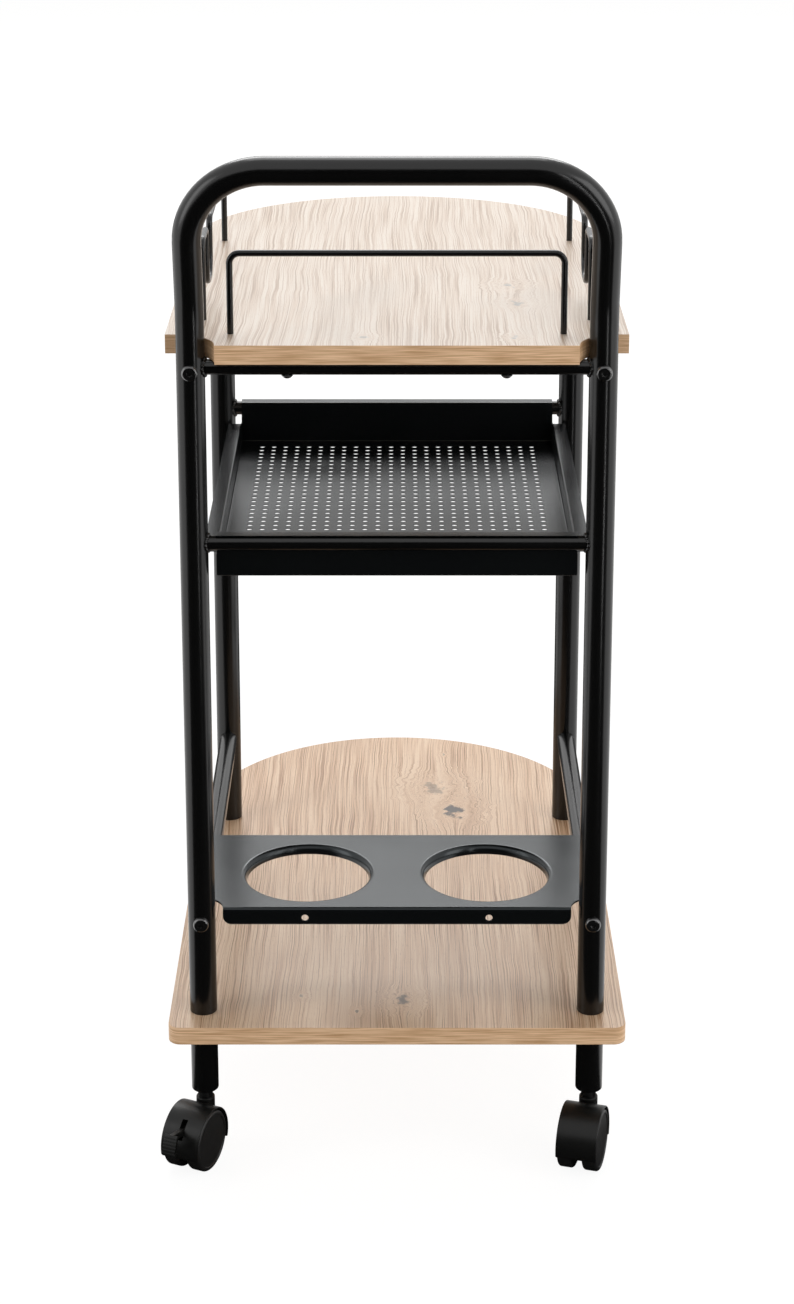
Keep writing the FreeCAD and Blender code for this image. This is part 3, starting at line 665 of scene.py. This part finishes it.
def dome_head(centre, outward_axis):
    """A domed head whose top stands proud of the tube, with a hexagonal socket."""
    axis = Vector(outward_axis)
    base = Vector(centre) + axis * (tube_radius - bolt_head_sunk)
    top = Vector(centre) + axis * (tube_radius + bolt_head_proud)
    head = rod(base, top, bolt_head_radius)
    ease(head, bolt_dome, segments=6)
    cut(head, rod(top - axis * socket_depth, top + axis * socket_depth, socket_radius, sides=6))
    ease(head, socket_round, segments=2, angle=50)
    return head


rail_heights = [middle("lower_side_rail_left").z, middle("upper_side_rail_left").z]
for end, y, facing in (("near", near_y, -1), ("rear", rear_y, 1)):
    places = [(side * leg_x, y, height) for side in sides.values() for height in rail_heights]
    heads = [dome_head(place, (0, facing, 0)) for place in places]
    shanks = [rod((x, y, z), (x, y - facing * bolt_length, z), bolt_radius, sides=24)
              for x, y, z in places]
    dress(join(heads + shanks), "rail_bolts_" + end, screw_black,
          [end + "_rail_bolts"])

screw_low, screw_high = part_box("shelf_screws")
screw_head_radius = 5 * mm
screw_head_height = 2.8 * mm
screw_dome_share, screw_dome_round = 0.45, 1.2 * mm
screw_radius = 2 * mm


def board_screw(x, y):
    head_top = screw_low.z + screw_head_height
    head = post(x, y, screw_low.z, head_top, screw_head_radius)
    edit(head)
    pick(head, "FACE", lambda face: face.normal.z < -0.9)
    bpy.ops.transform.resize(value=(screw_dome_share, screw_dome_share, 1),
                             center_override=(x, y, screw_low.z))
    leave()
    ease(head, screw_dome_round, segments=5, angle=25)
    return join([head, post(x, y, head_top, screw_high.z, screw_radius, sides=24)])


screw_x = screw_high.x - screw_head_radius
screws = [board_screw(side * screw_x, y) for side in sides.values() for y in (near_y, rear_y)]
dress(join(screws), "board_screws", screw_black, ["shelf_screws"])

# %% [markdown]
# ## Boards
# Each board is cut on a router to one outline: straight sides and a half round far end. Here a disc is
# cut in half, its straight edge is pulled out to the near end, and the sheet is thickened. Then the
# bottom board's near corners are rounded, and the top board gets two notches that curve round the legs.

# %% Boards
disc_sides = 192
arris_round = 0.8 * mm
bottom_corner = 10 * mm


def bullet_blank(node):
    low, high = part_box(node)
    half_width = (high.x - low.x) / 2
    arc_y = high.y - half_width
    board = add("circle", vertices=disc_sides, radius=half_width, fill_type="NGON",
                location=(0, arc_y, low.z))
    edit(board)
    take_all()
    bpy.ops.mesh.bisect(plane_co=(0, arc_y, low.z), plane_no=(0, 1, 0), clear_inner=True)
    pick(board, "EDGE", lambda edge: lies_at(edge, 1, arc_y))
    move((0, low.y - arc_y, 0))
    take_all()
    bpy.ops.mesh.dissolve_limited(angle_limit=math.radians(0.1))
    take_all()
    move((0, 0, high.z - low.z))
    leave()
    outward(board)
    return board


def dress_board(board, name, decor, node):
    """The faces that look sideways get the edge band, the others the decor."""
    ease(board, arris_round, angle=60)
    for material in (decor, board_band):
        board.data.materials.append(material)
    for face in board.data.polygons:
        face.material_index = 1 if abs(face.normal.z) < 0.8 else 0
    dress(board, name, decor, [node])


bottom_board = bullet_blank("bottom_shelf")
bottom_low, bottom_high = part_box("bottom_shelf")
edit(bottom_board)
corners = pick(bottom_board, "EDGE", lambda edge: lies_at(edge, 1, bottom_low.y)
               and (lies_at(edge, 0, bottom_low.x) or lies_at(edge, 0, bottom_high.x)))
print("near corners", corners)
bpy.ops.mesh.bevel(offset=bottom_corner, segments=10, affect="EDGES")
leave()
dress_board(bottom_board, "bottom_board", bottom_decor_painted_shade, "bottom_shelf")

notch_out = 14 * mm
notch_near = 16.2 * mm
notch_gap = 0.9 * mm
notch_radius = tube_radius + notch_gap + math.hypot(notch_out, notch_near)
notch_y = near_y - notch_near
top_board = bullet_blank("top_shelf")
top_low, top_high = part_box("top_shelf")
beneath, above = top_low.z - tube_radius, top_high.z + tube_radius
for side in sides.values():
    notch_x = side * (leg_x + notch_out)
    cut(top_board, post(notch_x, notch_y, beneath, above, notch_radius, sides=144))
    cut(top_board, block((notch_x, notch_y - notch_radius, beneath),
                         (side * (top_high.x + tube_radius), notch_y + notch_radius, above)))
dress_board(top_board, "top_board", top_decor_painted_light, "top_shelf")

# %% [markdown]
# ## Wire guard rails
# Round wire, bent cold. The end rail is a plain hoop. Each side rail has a U-shaped dip bent into it
# near the handle. The wire goes into a drilled hole in the board.

# %% Guard rails
wire_bend = 8 * mm
wire_end_round = 0.4 * mm
dip_bend = 17 * mm
dip_start = 45 * mm
dip_width = 42 * mm
dip_rise = 17 * mm


def wire_rail(node, name, axis, dip=()):
    """A hoop along X or Y; a dip is its start and end along the hoop and its trough's height."""
    low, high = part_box(node)
    centre, radius = middle(node), size(node)[1 - axis] / 2
    start, end, crest = low[axis] + radius, high[axis] - radius, high.z - radius
    stops, bends = [(start, low.z), (start, crest)], [wire_bend]
    if dip:
        near, far, trough = start + dip[0], start + dip[1], dip[2]
        stops += [(near, crest), (near, trough), (far, trough), (far, crest)]
        bends += [wire_bend, dip_bend, dip_bend, wire_bend]
    stops, bends = stops + [(end, crest), (end, low.z)], bends + [wire_bend]
    points = [(centre.x, along, height) if axis else (along, centre.y, height)
              for along, height in stops]
    dress(bent_bar(points, bends, radius, wire_end_round), name, wire_coat, [node])


wire_rail("end_guard_rail", "end_rail_wire", 0)
for side in sides:
    wire_rail("side_guard_rail_" + side, "side_rail_wire_" + side, 1,
              dip=(dip_start, dip_start + dip_width, board_top + dip_rise))

# %% [markdown]
# ## Perforated tray
# The tray is punched and folded from 0.7 mm sheet. One cell of the perforation is a round hole in a
# square; two arrays repeat it, the rim of the pattern is pulled out to the folds, and the walls, lips
# and flanges are pulled up from there. Thickness and the rounded folds come last.

# %% Tray
pitch = 10.5 * mm
hole_radius = 2.3 * mm
hole_sides = 12
columns, rows = 24, 32
sheet = 0.7 * mm
fold_radius = 1.5 * mm
side_height = 18 * mm
lip_reach = 11 * mm
flange_cut = 12.5 * mm
tray_low, tray_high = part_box("tray")
tray_floor = tray_low.z + sheet / 2
tray_lip = tray_high.z - sheet / 2
tray_wall_x = 140 * mm
tray_side_top = tray_floor + side_height
wall_near = tray_low.y + lip_reach
wall_far = tray_high.y - lip_reach
tray_mid_y = (wall_near + wall_far) / 2
wall_half_y = (wall_far - wall_near) / 2
flange_half_y = wall_half_y - flange_cut / 2
pattern_x, pattern_y = columns * pitch / 2, rows * pitch / 2


def perforation_cell(corner):
    """One square of sheet with a round hole, its low corner at a given place."""
    centre = Vector(corner) + Vector((pitch / 2, pitch / 2, 0))
    hole, rim = (add("circle", vertices=hole_sides, radius=radius, location=centre,
                     rotation=(0, 0, math.radians(45))) for radius in (hole_radius, pitch / 2))
    for vert in rim.data.vertices:
        reach = vert.co - centre
        vert.co = centre + reach * (pitch / 2 / max(abs(reach.x), abs(reach.y)))
    cell = join([hole, rim])
    edit(cell)
    take_all()
    bpy.ops.mesh.bridge_edge_loops()
    leave()
    return cell


tray = perforation_cell((-pattern_x, tray_mid_y - pattern_y, tray_floor))
for count, offset in ((columns, (pitch, 0, 0)), (rows, (0, pitch, 0))):
    modify(tray, "ARRAY", count=count, use_relative_offset=False, use_constant_offset=True,
           constant_offset_displace=offset, use_merge_vertices=True, merge_threshold=merge_distance)


def on_line(edge, axis, value, centre=0.0):
    """An open edge whose two ends lie at a distance from a centre line."""
    return edge.is_boundary and all(abs(abs(vert.co[axis] - centre) - value) < merge_distance
                                    for vert in edge.verts)


def pull(axis, value, target, centre=0.0, test=lambda edge: True):
    """Pulls the open edges on both sides of a centre line out to a target distance."""
    for sign in (-1, 1):
        pick(tray, "EDGE", lambda edge: on_line(edge, axis, value, centre) and test(edge)
             and (edge.verts[0].co[axis] - centre) * sign > 0)
        offset = [0, 0, 0]
        offset[axis] = sign * (target - value)
        move(offset)


edit(tray)
pull(0, pattern_x, tray_wall_x)
pull(1, pattern_y, flange_half_y, tray_mid_y)
pull(1, flange_half_y, wall_half_y, tray_mid_y)
pick(tray, "EDGE", lambda edge: on_line(edge, 0, tray_wall_x))
move((0, 0, tray_side_top - tray_floor))
pull(0, tray_wall_x, tray_high.x, test=lambda edge: lies_at(edge, 2, tray_side_top)
     and all(abs(vert.co.y - tray_mid_y) < flange_half_y + merge_distance for vert in edge.verts))
pick(tray, "EDGE", lambda edge: on_line(edge, 1, wall_half_y, tray_mid_y)
     and lies_at(edge, 2, tray_floor))
move((0, 0, tray_lip - tray_floor))
pull(1, wall_half_y, wall_half_y + lip_reach, tray_mid_y,
     test=lambda edge: lies_at(edge, 2, tray_lip))
leave()
outward(tray)
ease(tray, fold_radius, segments=3, angle=60)
modify(tray, "SOLIDIFY", thickness=sheet, offset=0, use_even_offset=True)
dress(tray, "perforated_tray", sheet_coat, ["tray"], body="tray", smooth=25)

# %% [markdown]
# ## Bottle plate
# The plate is folded from 1.5 mm sheet: a short lip hangs down at the near end. The strip starts at
# the lip's lower edge, is spun round the fold and pulled back to the far edge. The two bottle holes
# are cut, and the wall of each is pulled inwards and down along a quarter round, as a press dishes it.

# %% Bottle plate
plate_sheet = 1.5 * mm
plate_fold = 2.25 * mm
leg_cut_radius = tube_radius + 6 * mm
far_relief = 6 * mm
lip_corner = 7 * mm
lip_hole_radius = 2.9 * mm
lip_hole_x = 74 * mm
lip_hole_rise = 5.5 * mm
bottle_x = 73.5 * mm
bottle_y = near_y + 65 * mm
rim_radius = 55 * mm
bottle_radius = 50.5 * mm
dish_depth = 6 * mm
dish_steps = 6
edge_round = 0.25 * mm
deep = 30 * mm
plate_low, plate_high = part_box("bottle_plate")
plate_z = plate_high.z - plate_sheet / 2
fold_z = plate_z - plate_fold
lip_y = plate_low.y + plate_sheet / 2
plate = add("plane", size=1, location=(0, lip_y, (plate_low.z + fold_z) / 2),
            rotation=(math.radians(90), 0, 0),
            scale=(size("bottle_plate").x, fold_z - plate_low.z, 1))
edit(plate)
pick(plate, "EDGE", lambda edge: all(vert.co.z > plate_low.z + merge_distance for vert in edge.verts))
bpy.ops.mesh.spin(steps=6, angle=math.radians(90), center=(0, lip_y + plate_fold, fold_z),
                  axis=(1, 0, 0))
move((0, plate_high.y - lip_y - plate_fold, 0))
leave()
outward(plate)
modify(plate, "SOLIDIFY", thickness=plate_sheet, offset=0, use_even_offset=True)
beneath, above = plate_z - deep, plate_z + deep
for side in sides.values():
    cut(plate, post(side * leg_x, near_y, beneath, above, leg_cut_radius, sides=96))
    cut(plate, block((side * (plate_high.x + far_relief), plate_high.y - far_relief, beneath),
                     (side * (plate_high.x - far_relief), plate_high.y + far_relief, above)))
    hole_x, hole_z = side * lip_hole_x, plate_low.z + lip_hole_rise
    cut(plate, rod((hole_x, lip_y - deep, hole_z), (hole_x, lip_y + plate_sheet, hole_z),
                   lip_hole_radius, sides=32))
    cut(plate, post(side * bottle_x, bottle_y, beneath, above, rim_radius, sides=96))
lip_half = leg_x - leg_cut_radius
edit(plate)
corners = pick(plate, "EDGE", lambda edge: abs(edge.verts[0].co.x - edge.verts[1].co.x) < 0.3 * mm
               and all(abs(vert.co.z - plate_low.z) < 0.1 * mm
                       and abs(abs(vert.co.x) - lip_half) < 0.6 * mm for vert in edge.verts))
print("lip corners", corners)
bpy.ops.mesh.bevel(offset=lip_corner, segments=8, affect="EDGES")
for side in sides.values():
    centre = Vector((side * bottle_x, bottle_y, plate_z))
    pick(plate, "FACE", lambda face: abs(face.normal.z) < 0.1
         and abs((face.calc_center_median() - centre).xy.length - rim_radius) < 0.3 * mm)
    reach, depth = rim_radius, 0.0
    for step in range(1, dish_steps + 1):
        swing = math.radians(90) * step / dish_steps
        next_reach = rim_radius - (rim_radius - bottle_radius) * math.sin(swing)
        next_depth = dish_depth * (1 - math.cos(swing))
        move((0, 0, depth - next_depth))
        scale = next_reach / reach
        bpy.ops.transform.resize(value=(scale, scale, 1), center_override=centre)
        reach, depth = next_reach, next_depth
leave()
ease(plate, edge_round, segments=2, angle=60)
dress(plate, "bottle_plate_sheet", sheet_coat, ["bottle_plate"], smooth=30)

# %% [markdown]
# ## Casters
# Each caster is modelled in its own frame, with the stem over the origin, the wheels trailing
# towards -Y and the axle along X. It is then turned and set under its foot by the joint's axis.

# %% Caster places
wheel_radius = 25 * mm
wheel_width = 12.5 * mm
wheel_gap = 4 * mm
trail = 20 * mm
axle = Vector((0, -trail, wheel_radius))


def caster_place(name):
    swivel = Vector(joints["swivel_" + name]["pos_m"])
    across = Vector(joints["roll_a_" + name]["axis"])
    turn = Matrix.Rotation(math.atan2(across.y, across.x), 4, "Z")
    return Matrix.Translation((swivel.x, swivel.y, 0)) @ turn


def beside_axle(distance):
    return axle + Vector((distance, 0, 0))


def round_axle(distance, angle):
    """A point in the caster's middle plane; the stem's side is 0 degrees and up is 90."""
    turn = math.radians(angle)
    return axle + Vector((0, math.cos(turn), math.sin(turn))) * distance


# %% [markdown]
# ### Wheels
# A wheel is a disc with a well rounded rim. Its outer face has a raised ring and a slightly domed
# middle, made by insetting the face and moving it in or out.

# %% Wheel
wheel_round = 2.4 * mm
face_steps_mm = ((1.0, 0), (0.5, -0.7), (5.0, 0.15), (9.0, 0.25))


def caster_wheel(side):
    """Each step of the outer face is an inset and how far it then moves out."""
    start, end = beside_axle(side * wheel_gap), beside_axle(side * (wheel_gap + wheel_width))
    wheel = rod(start, end, wheel_radius, sides=72)
    ease(wheel, wheel_round, segments=5, angle=60)
    edit(wheel)
    for inset, rise in face_steps_mm:
        pick(wheel, "FACE", lambda face: face.normal.x * side > 0.99 and len(face.verts) > 12)
        bpy.ops.mesh.inset(thickness=inset * mm, depth=0)
        bpy.ops.transform.translate(value=(side * rise * mm, 0, 0))
    leave()
    return wheel


# %% [markdown]
# ### Hood and stem
# The hood is a curved fender over both wheels, joined by a web between them to the axle and to the
# boss round the stem. The fender's flat section is spun round the axle and its ends are closed. A
# braked hood has a slot for the lever. The stem is a turned pin: a root in the boss, a neck, and a
# journal that goes up into the foot.

# %% Hood and stem
fender_gap = 0.8 * mm
fender_wall = 1.9 * mm
fender_half = 16.7 * mm
web_half = 3.5 * mm
fender_start, fender_end = -20, 192
boss_radius = 7.6 * mm
boss_length = 17 * mm
slot_half = 2.4 * mm
slot_in, slot_past = 15.4 * mm, 1 * mm
slot_start, slot_end = 122, 158
web_below = 6 * mm
hood_round = 0.8 * mm
fender_in = wheel_radius + fender_gap
fender_out = fender_in + fender_wall
neck_radius, neck_length, neck_round = 6.1 * mm, 7.2 * mm, 0.4 * mm
journal_radius = 5 * mm
root_radius, root_length = 4 * mm, 10 * mm


def spun_strip(inner, outer, half_width, start_angle, end_angle, steps):
    """A flat bar across the caster, spun round the axle from one angle to another."""
    strip = add("plane", size=1, location=round_axle((inner + outer) / 2, start_angle),
                rotation=(math.radians(start_angle), 0, 0), scale=(2 * half_width, outer - inner, 1))
    edit(strip)
    take_all()
    bpy.ops.mesh.delete(type="ONLY_FACE")
    take_all()
    bpy.ops.mesh.spin(steps=steps, angle=-math.radians(end_angle - start_angle), center=axle,
                      axis=(1, 0, 0))
    take_all()
    bpy.ops.mesh.fill_holes(sides=0)
    leave()
    outward(strip)
    return strip


def caster_hood(braked, stem_bottom):
    fender = spun_strip(fender_in, fender_out, fender_half, fender_start, fender_end, 72)
    ease(fender, hood_round, angle=60)
    web = rod(beside_axle(-web_half), beside_axle(web_half), fender_out - fender_wall / 2, sides=96)
    edit(web)
    take_all()
    bpy.ops.mesh.bisect(plane_co=axle - Vector((0, 0, web_below)), plane_no=(0, 0, 1),
                        clear_inner=True, use_fill=True)
    leave()
    outward(web)
    for slotted in (fender, web) if braked else ():
        cut(slotted, spun_strip(slot_in, fender_out + slot_past, slot_half, slot_start, slot_end, 18))
    boss = post(0, 0, stem_bottom - boss_length, stem_bottom, boss_radius)
    ease(boss, hood_round)
    for side in sides.values():
        cut(boss, rod(beside_axle(side * web_half), beside_axle(side * wheel_radius), fender_in,
                      sides=96))
    return join([fender, web, boss])


def caster_stem(neck_bottom, stem_top):
    neck_top = neck_bottom + neck_length
    neck = post(0, 0, neck_bottom, neck_top, neck_radius)
    ease(neck, neck_round)
    journal = post(0, 0, neck_top, stem_top, journal_radius)
    return join([neck, journal, post(0, 0, neck_bottom - root_length, neck_bottom, root_radius)])


# %% [markdown]
# ### Brake lever
# The lever turns on a pin in the hood. Its arm comes out through the slot and carries a tab behind
# the fender, with ribs across for the toe.

# %% Brake lever
pin_reach, pin_angle = 19 * mm, 133
arm_angle = 153
tab_in = fender_out + 15 * mm
tab_out = tab_in + 2.6 * mm
tab_half = 5.7 * mm
tab_start, tab_end = 150, 172
arm_half, arm_thickness, arm_round = 2.2 * mm, 5 * mm, 0.5 * mm
eye_radius = 3.6 * mm
rib_count, rib_height, rib_round = 6, 0.5 * mm, 0.2 * mm


def brake_lever():
    steps = 2 * rib_count + 1
    tab = spun_strip(tab_in, tab_out, tab_half, tab_start, tab_end, steps)
    edit(tab)
    for index in range(1, steps, 2):
        spot = round_axle(tab_out, tab_start + (index + 0.5) / steps * (tab_end - tab_start))
        pick(tab, "FACE", lambda face: (face.calc_center_median() - spot).length < 0.4 * mm)
        move((spot - axle).normalized() * rib_height)
    leave()
    ease(tab, rib_round, segments=2, angle=50)
    pin = round_axle(pin_reach, pin_angle)
    arm_end = round_axle((tab_in + tab_out) / 2, arm_angle)
    side = Vector((arm_half, 0, 0))
    eye = rod(pin - side, pin + side, eye_radius)
    along = arm_end - pin
    arm = add("cube", size=1, location=(pin + arm_end) / 2,
              rotation=(math.atan2(along.z, along.y), 0, 0),
              scale=(2 * arm_half, along.length, arm_thickness))
    ease(arm, arm_round)
    return join([tab, eye, arm])


# %% [markdown]
# ### Four casters
# All four are alike, so one loop makes and places them. Hood and stem swivel together, each wheel
# rolls and the lever rocks, each on its own body.

# %% Put the casters in place
for name in ("near_left", "near_right", "rear_left", "rear_right"):
    place = caster_place(name)
    braked = "brake_lever_" + name in frame["nodes"]
    stem_low, stem_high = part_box("caster_stem_" + name)
    neck_bottom = stem_low.z + root_length
    pieces = {
        "hood": (caster_hood(braked, neck_bottom), hood_nylon, "hood_plastic", "swivel_"),
        "stem": (caster_stem(neck_bottom, stem_high.z), screw_black, "black_steel_pin", "swivel_"),
        "wheel_a": (caster_wheel(-1), wheel_nylon, "wheel_plastic", "wheel_a_"),
        "wheel_b": (caster_wheel(1), wheel_nylon, "wheel_plastic", "wheel_b_"),
    }
    if braked:
        pieces["lever"] = (brake_lever(), hood_nylon, "hood_plastic", "lever_")
    for piece, (obj, material, slot, body) in pieces.items():
        obj.data.transform(place)
        node = "brake_lever_" + name if piece == "lever" else "caster_" + piece + "_" + name
        dress(obj, piece + "_of_" + name, material, [node], body=body + name)

# %% [markdown]
# ## Pieces that stay as they are
# Plugs, studs, inserts and axles are hidden inside other pieces. Their solids stay and get the right
# material.

# %% Materials of the hidden pieces
moulded_nodes = ("rail_inserts", "leg_inserts", "foot_plugs", "caster_sockets", "rear_leg_caps")
for node, obj in frame["nodes"].items():
    plated = node == "leg_studs" or node.startswith("caster_axle")
    if plated or node in moulded_nodes:
        obj.data.materials.clear()
        obj.data.materials.append(zinc if plated else plug_nylon)
        print(node, obj.data.materials[0].name)

# %% [markdown]
# ## Floor and world
# The floor is a wide white sheet that still takes the cart's shadow. It glows a little for the camera
# and in reflections, so that it reads as white. The world lights everything evenly.

# %% Floor and world
floor_glow, glow_share = 1.14, 0.8
world_level = 0.40


def white_share(holder):
    """1 for rays from the camera and for those that gloss or glass sends on, else 0."""
    rays = add_node(holder, "LightPath")
    share = rays.outputs["Is Camera Ray"]
    for kind in ("Is Glossy Ray", "Is Transmission Ray"):
        share = calc(holder, "MAXIMUM", share, rays.outputs[kind])
    return share


floor = add("plane", size=60, location=(0, 0, 0))
floor.name = "floor"
floor_paper, floor_shader = new_material("matt_white_paper", Base_Color=linear("#F6F5F3"), Roughness=0.9)
glow = add_node(floor_paper, "Emission", {"Color": (1, 1, 1, 1), "Strength": floor_glow})
floor_mix = add_node(floor_paper, "MixShader",
                     {0: calc(floor_paper, "MULTIPLY", white_share(floor_paper), glow_share),
                      1: floor_shader.outputs[0], 2: glow.outputs[0]})
feed(floor_paper.node_tree.nodes["Material Output"], Surface=floor_mix.outputs[0])
floor.data.materials.append(floor_paper)

world = bpy.data.worlds.new("studio")
bpy.context.scene.world = world
world.use_nodes = True
background = world.node_tree.nodes["Background"]
background.inputs["Color"].default_value = (1, 1, 1, 1)
feed(background, Strength=ramped(world, white_share(world), 0.0, 1.0, world_level, 1.0, "LINEAR"))
print("floor and world", floor.name, world.name)

# %% [markdown]
# ## Cloths and lamps
# Black cloths on the floor and in front are seen only in reflections, so that the black steel stays
# black between its highlights. A soft lamp stands at each side, a small one hangs over the cart, and
# the level surfaces mirror a wide one far behind. A narrow strip draws a thin line on the tubes.

# %% Cloths and lamps
cloth, _ = new_material("black_molton_cloth", Base_Color=linear("#050505"), Roughness=1.0)
cloth_lift = 1 * mm
fan_reach = 8


def hang(obj, name):
    """A black cloth that only shows in reflections."""
    obj.name = name
    obj.data.materials.append(cloth)
    obj.visible_camera = obj.visible_diffuse = obj.visible_transmission = obj.visible_shadow = False
    print(name)


def floor_cloth(name, middle_angle, half_angle):
    """A fan of cloth on the floor, its point under the cart; 0 degrees is +X."""
    fan = add("circle", vertices=72, radius=fan_reach, fill_type="NGON", location=(0, 0, cloth_lift))
    edit(fan)
    for sign in (-1, 1):
        edge_angle = math.radians(middle_angle + sign * half_angle)
        inside = Vector((math.sin(edge_angle), -math.cos(edge_angle), 0)) * sign
        take_all()
        bpy.ops.mesh.bisect(plane_co=(0, 0, cloth_lift), plane_no=inside, clear_inner=True,
                            use_fill=True)
    leave()
    hang(fan, name)


def wall_cloth(name, y, width, height):
    hang(add("plane", size=1, location=(0, y, height / 2), rotation=(math.radians(90), 0, 0),
             scale=(width, height, 1)), name)


def soft_lamp(name, place, target, width, height, watts):
    """A rectangular lamp that the camera doesn't see, turned to a target; places in metres."""
    data = bpy.data.lights.new(name, "AREA")
    data.shape = "RECTANGLE"
    data.size, data.size_y, data.energy = width, height, watts
    lamp = bpy.data.objects.new(name, data)
    bpy.context.scene.collection.objects.link(lamp)
    lamp.location = place
    lamp.rotation_euler = (Vector(target) - Vector(place)).to_track_quat("-Z", "Y").to_euler()
    lamp.visible_camera = False
    print(name, watts, "W")


floor_cloth("cloth_floor_front", -90, 52)
floor_cloth("cloth_floor_rear", 90, 35)
wall_cloth("cloth_wall_front", -4.5, 9, 2.6)
soft_lamp("lamp_over", (0, 0.9, 2.6), (0, 0.15, 0.4), 1.3, 1.3, 11.5)
soft_lamp("lamp_behind", (0, 4.4, 3.85), (0, 0, 0.3), 4.0, 2.0, 120)
soft_lamp("lamp_left", (-2.2, -0.9, 1.2), (0, 0, 0.5), 0.9, 2.0, 12)
soft_lamp("lamp_right", (2.2, -1.3, 1.2), (0, 0, 0.5), 1.4, 2.0, 17)
soft_lamp("lamp_strip", (0.58, -1.2, 0.6), (-0.15, -0.25, 0.5), 0.05, 1.1, 1.2)

# %% [markdown]
# ## Camera
# The photograph looks down on the handle end from about two metres away, with a long lens. Its
# upright lines are nearly parallel, so a part of the downward look comes from the lens's shift and
# the rest from the camera's tilt.

# %% Camera
camera_back = 2045 * mm
camera_height = 1230 * mm
camera_tilt = 15.77
camera_data = bpy.data.cameras.new("camera")
camera_data.sensor_width = 36
camera_data.lens = 77
camera_data.shift_y = -0.2
camera = bpy.data.objects.new("camera", camera_data)
bpy.context.scene.collection.objects.link(camera)
camera.location = (0, near_y - camera_back, camera_height)
camera.rotation_euler = (math.radians(90 - camera_tilt), 0, 0)
bpy.context.scene.camera = camera
bpy.context.scene.view_settings.view_transform = "Standard"
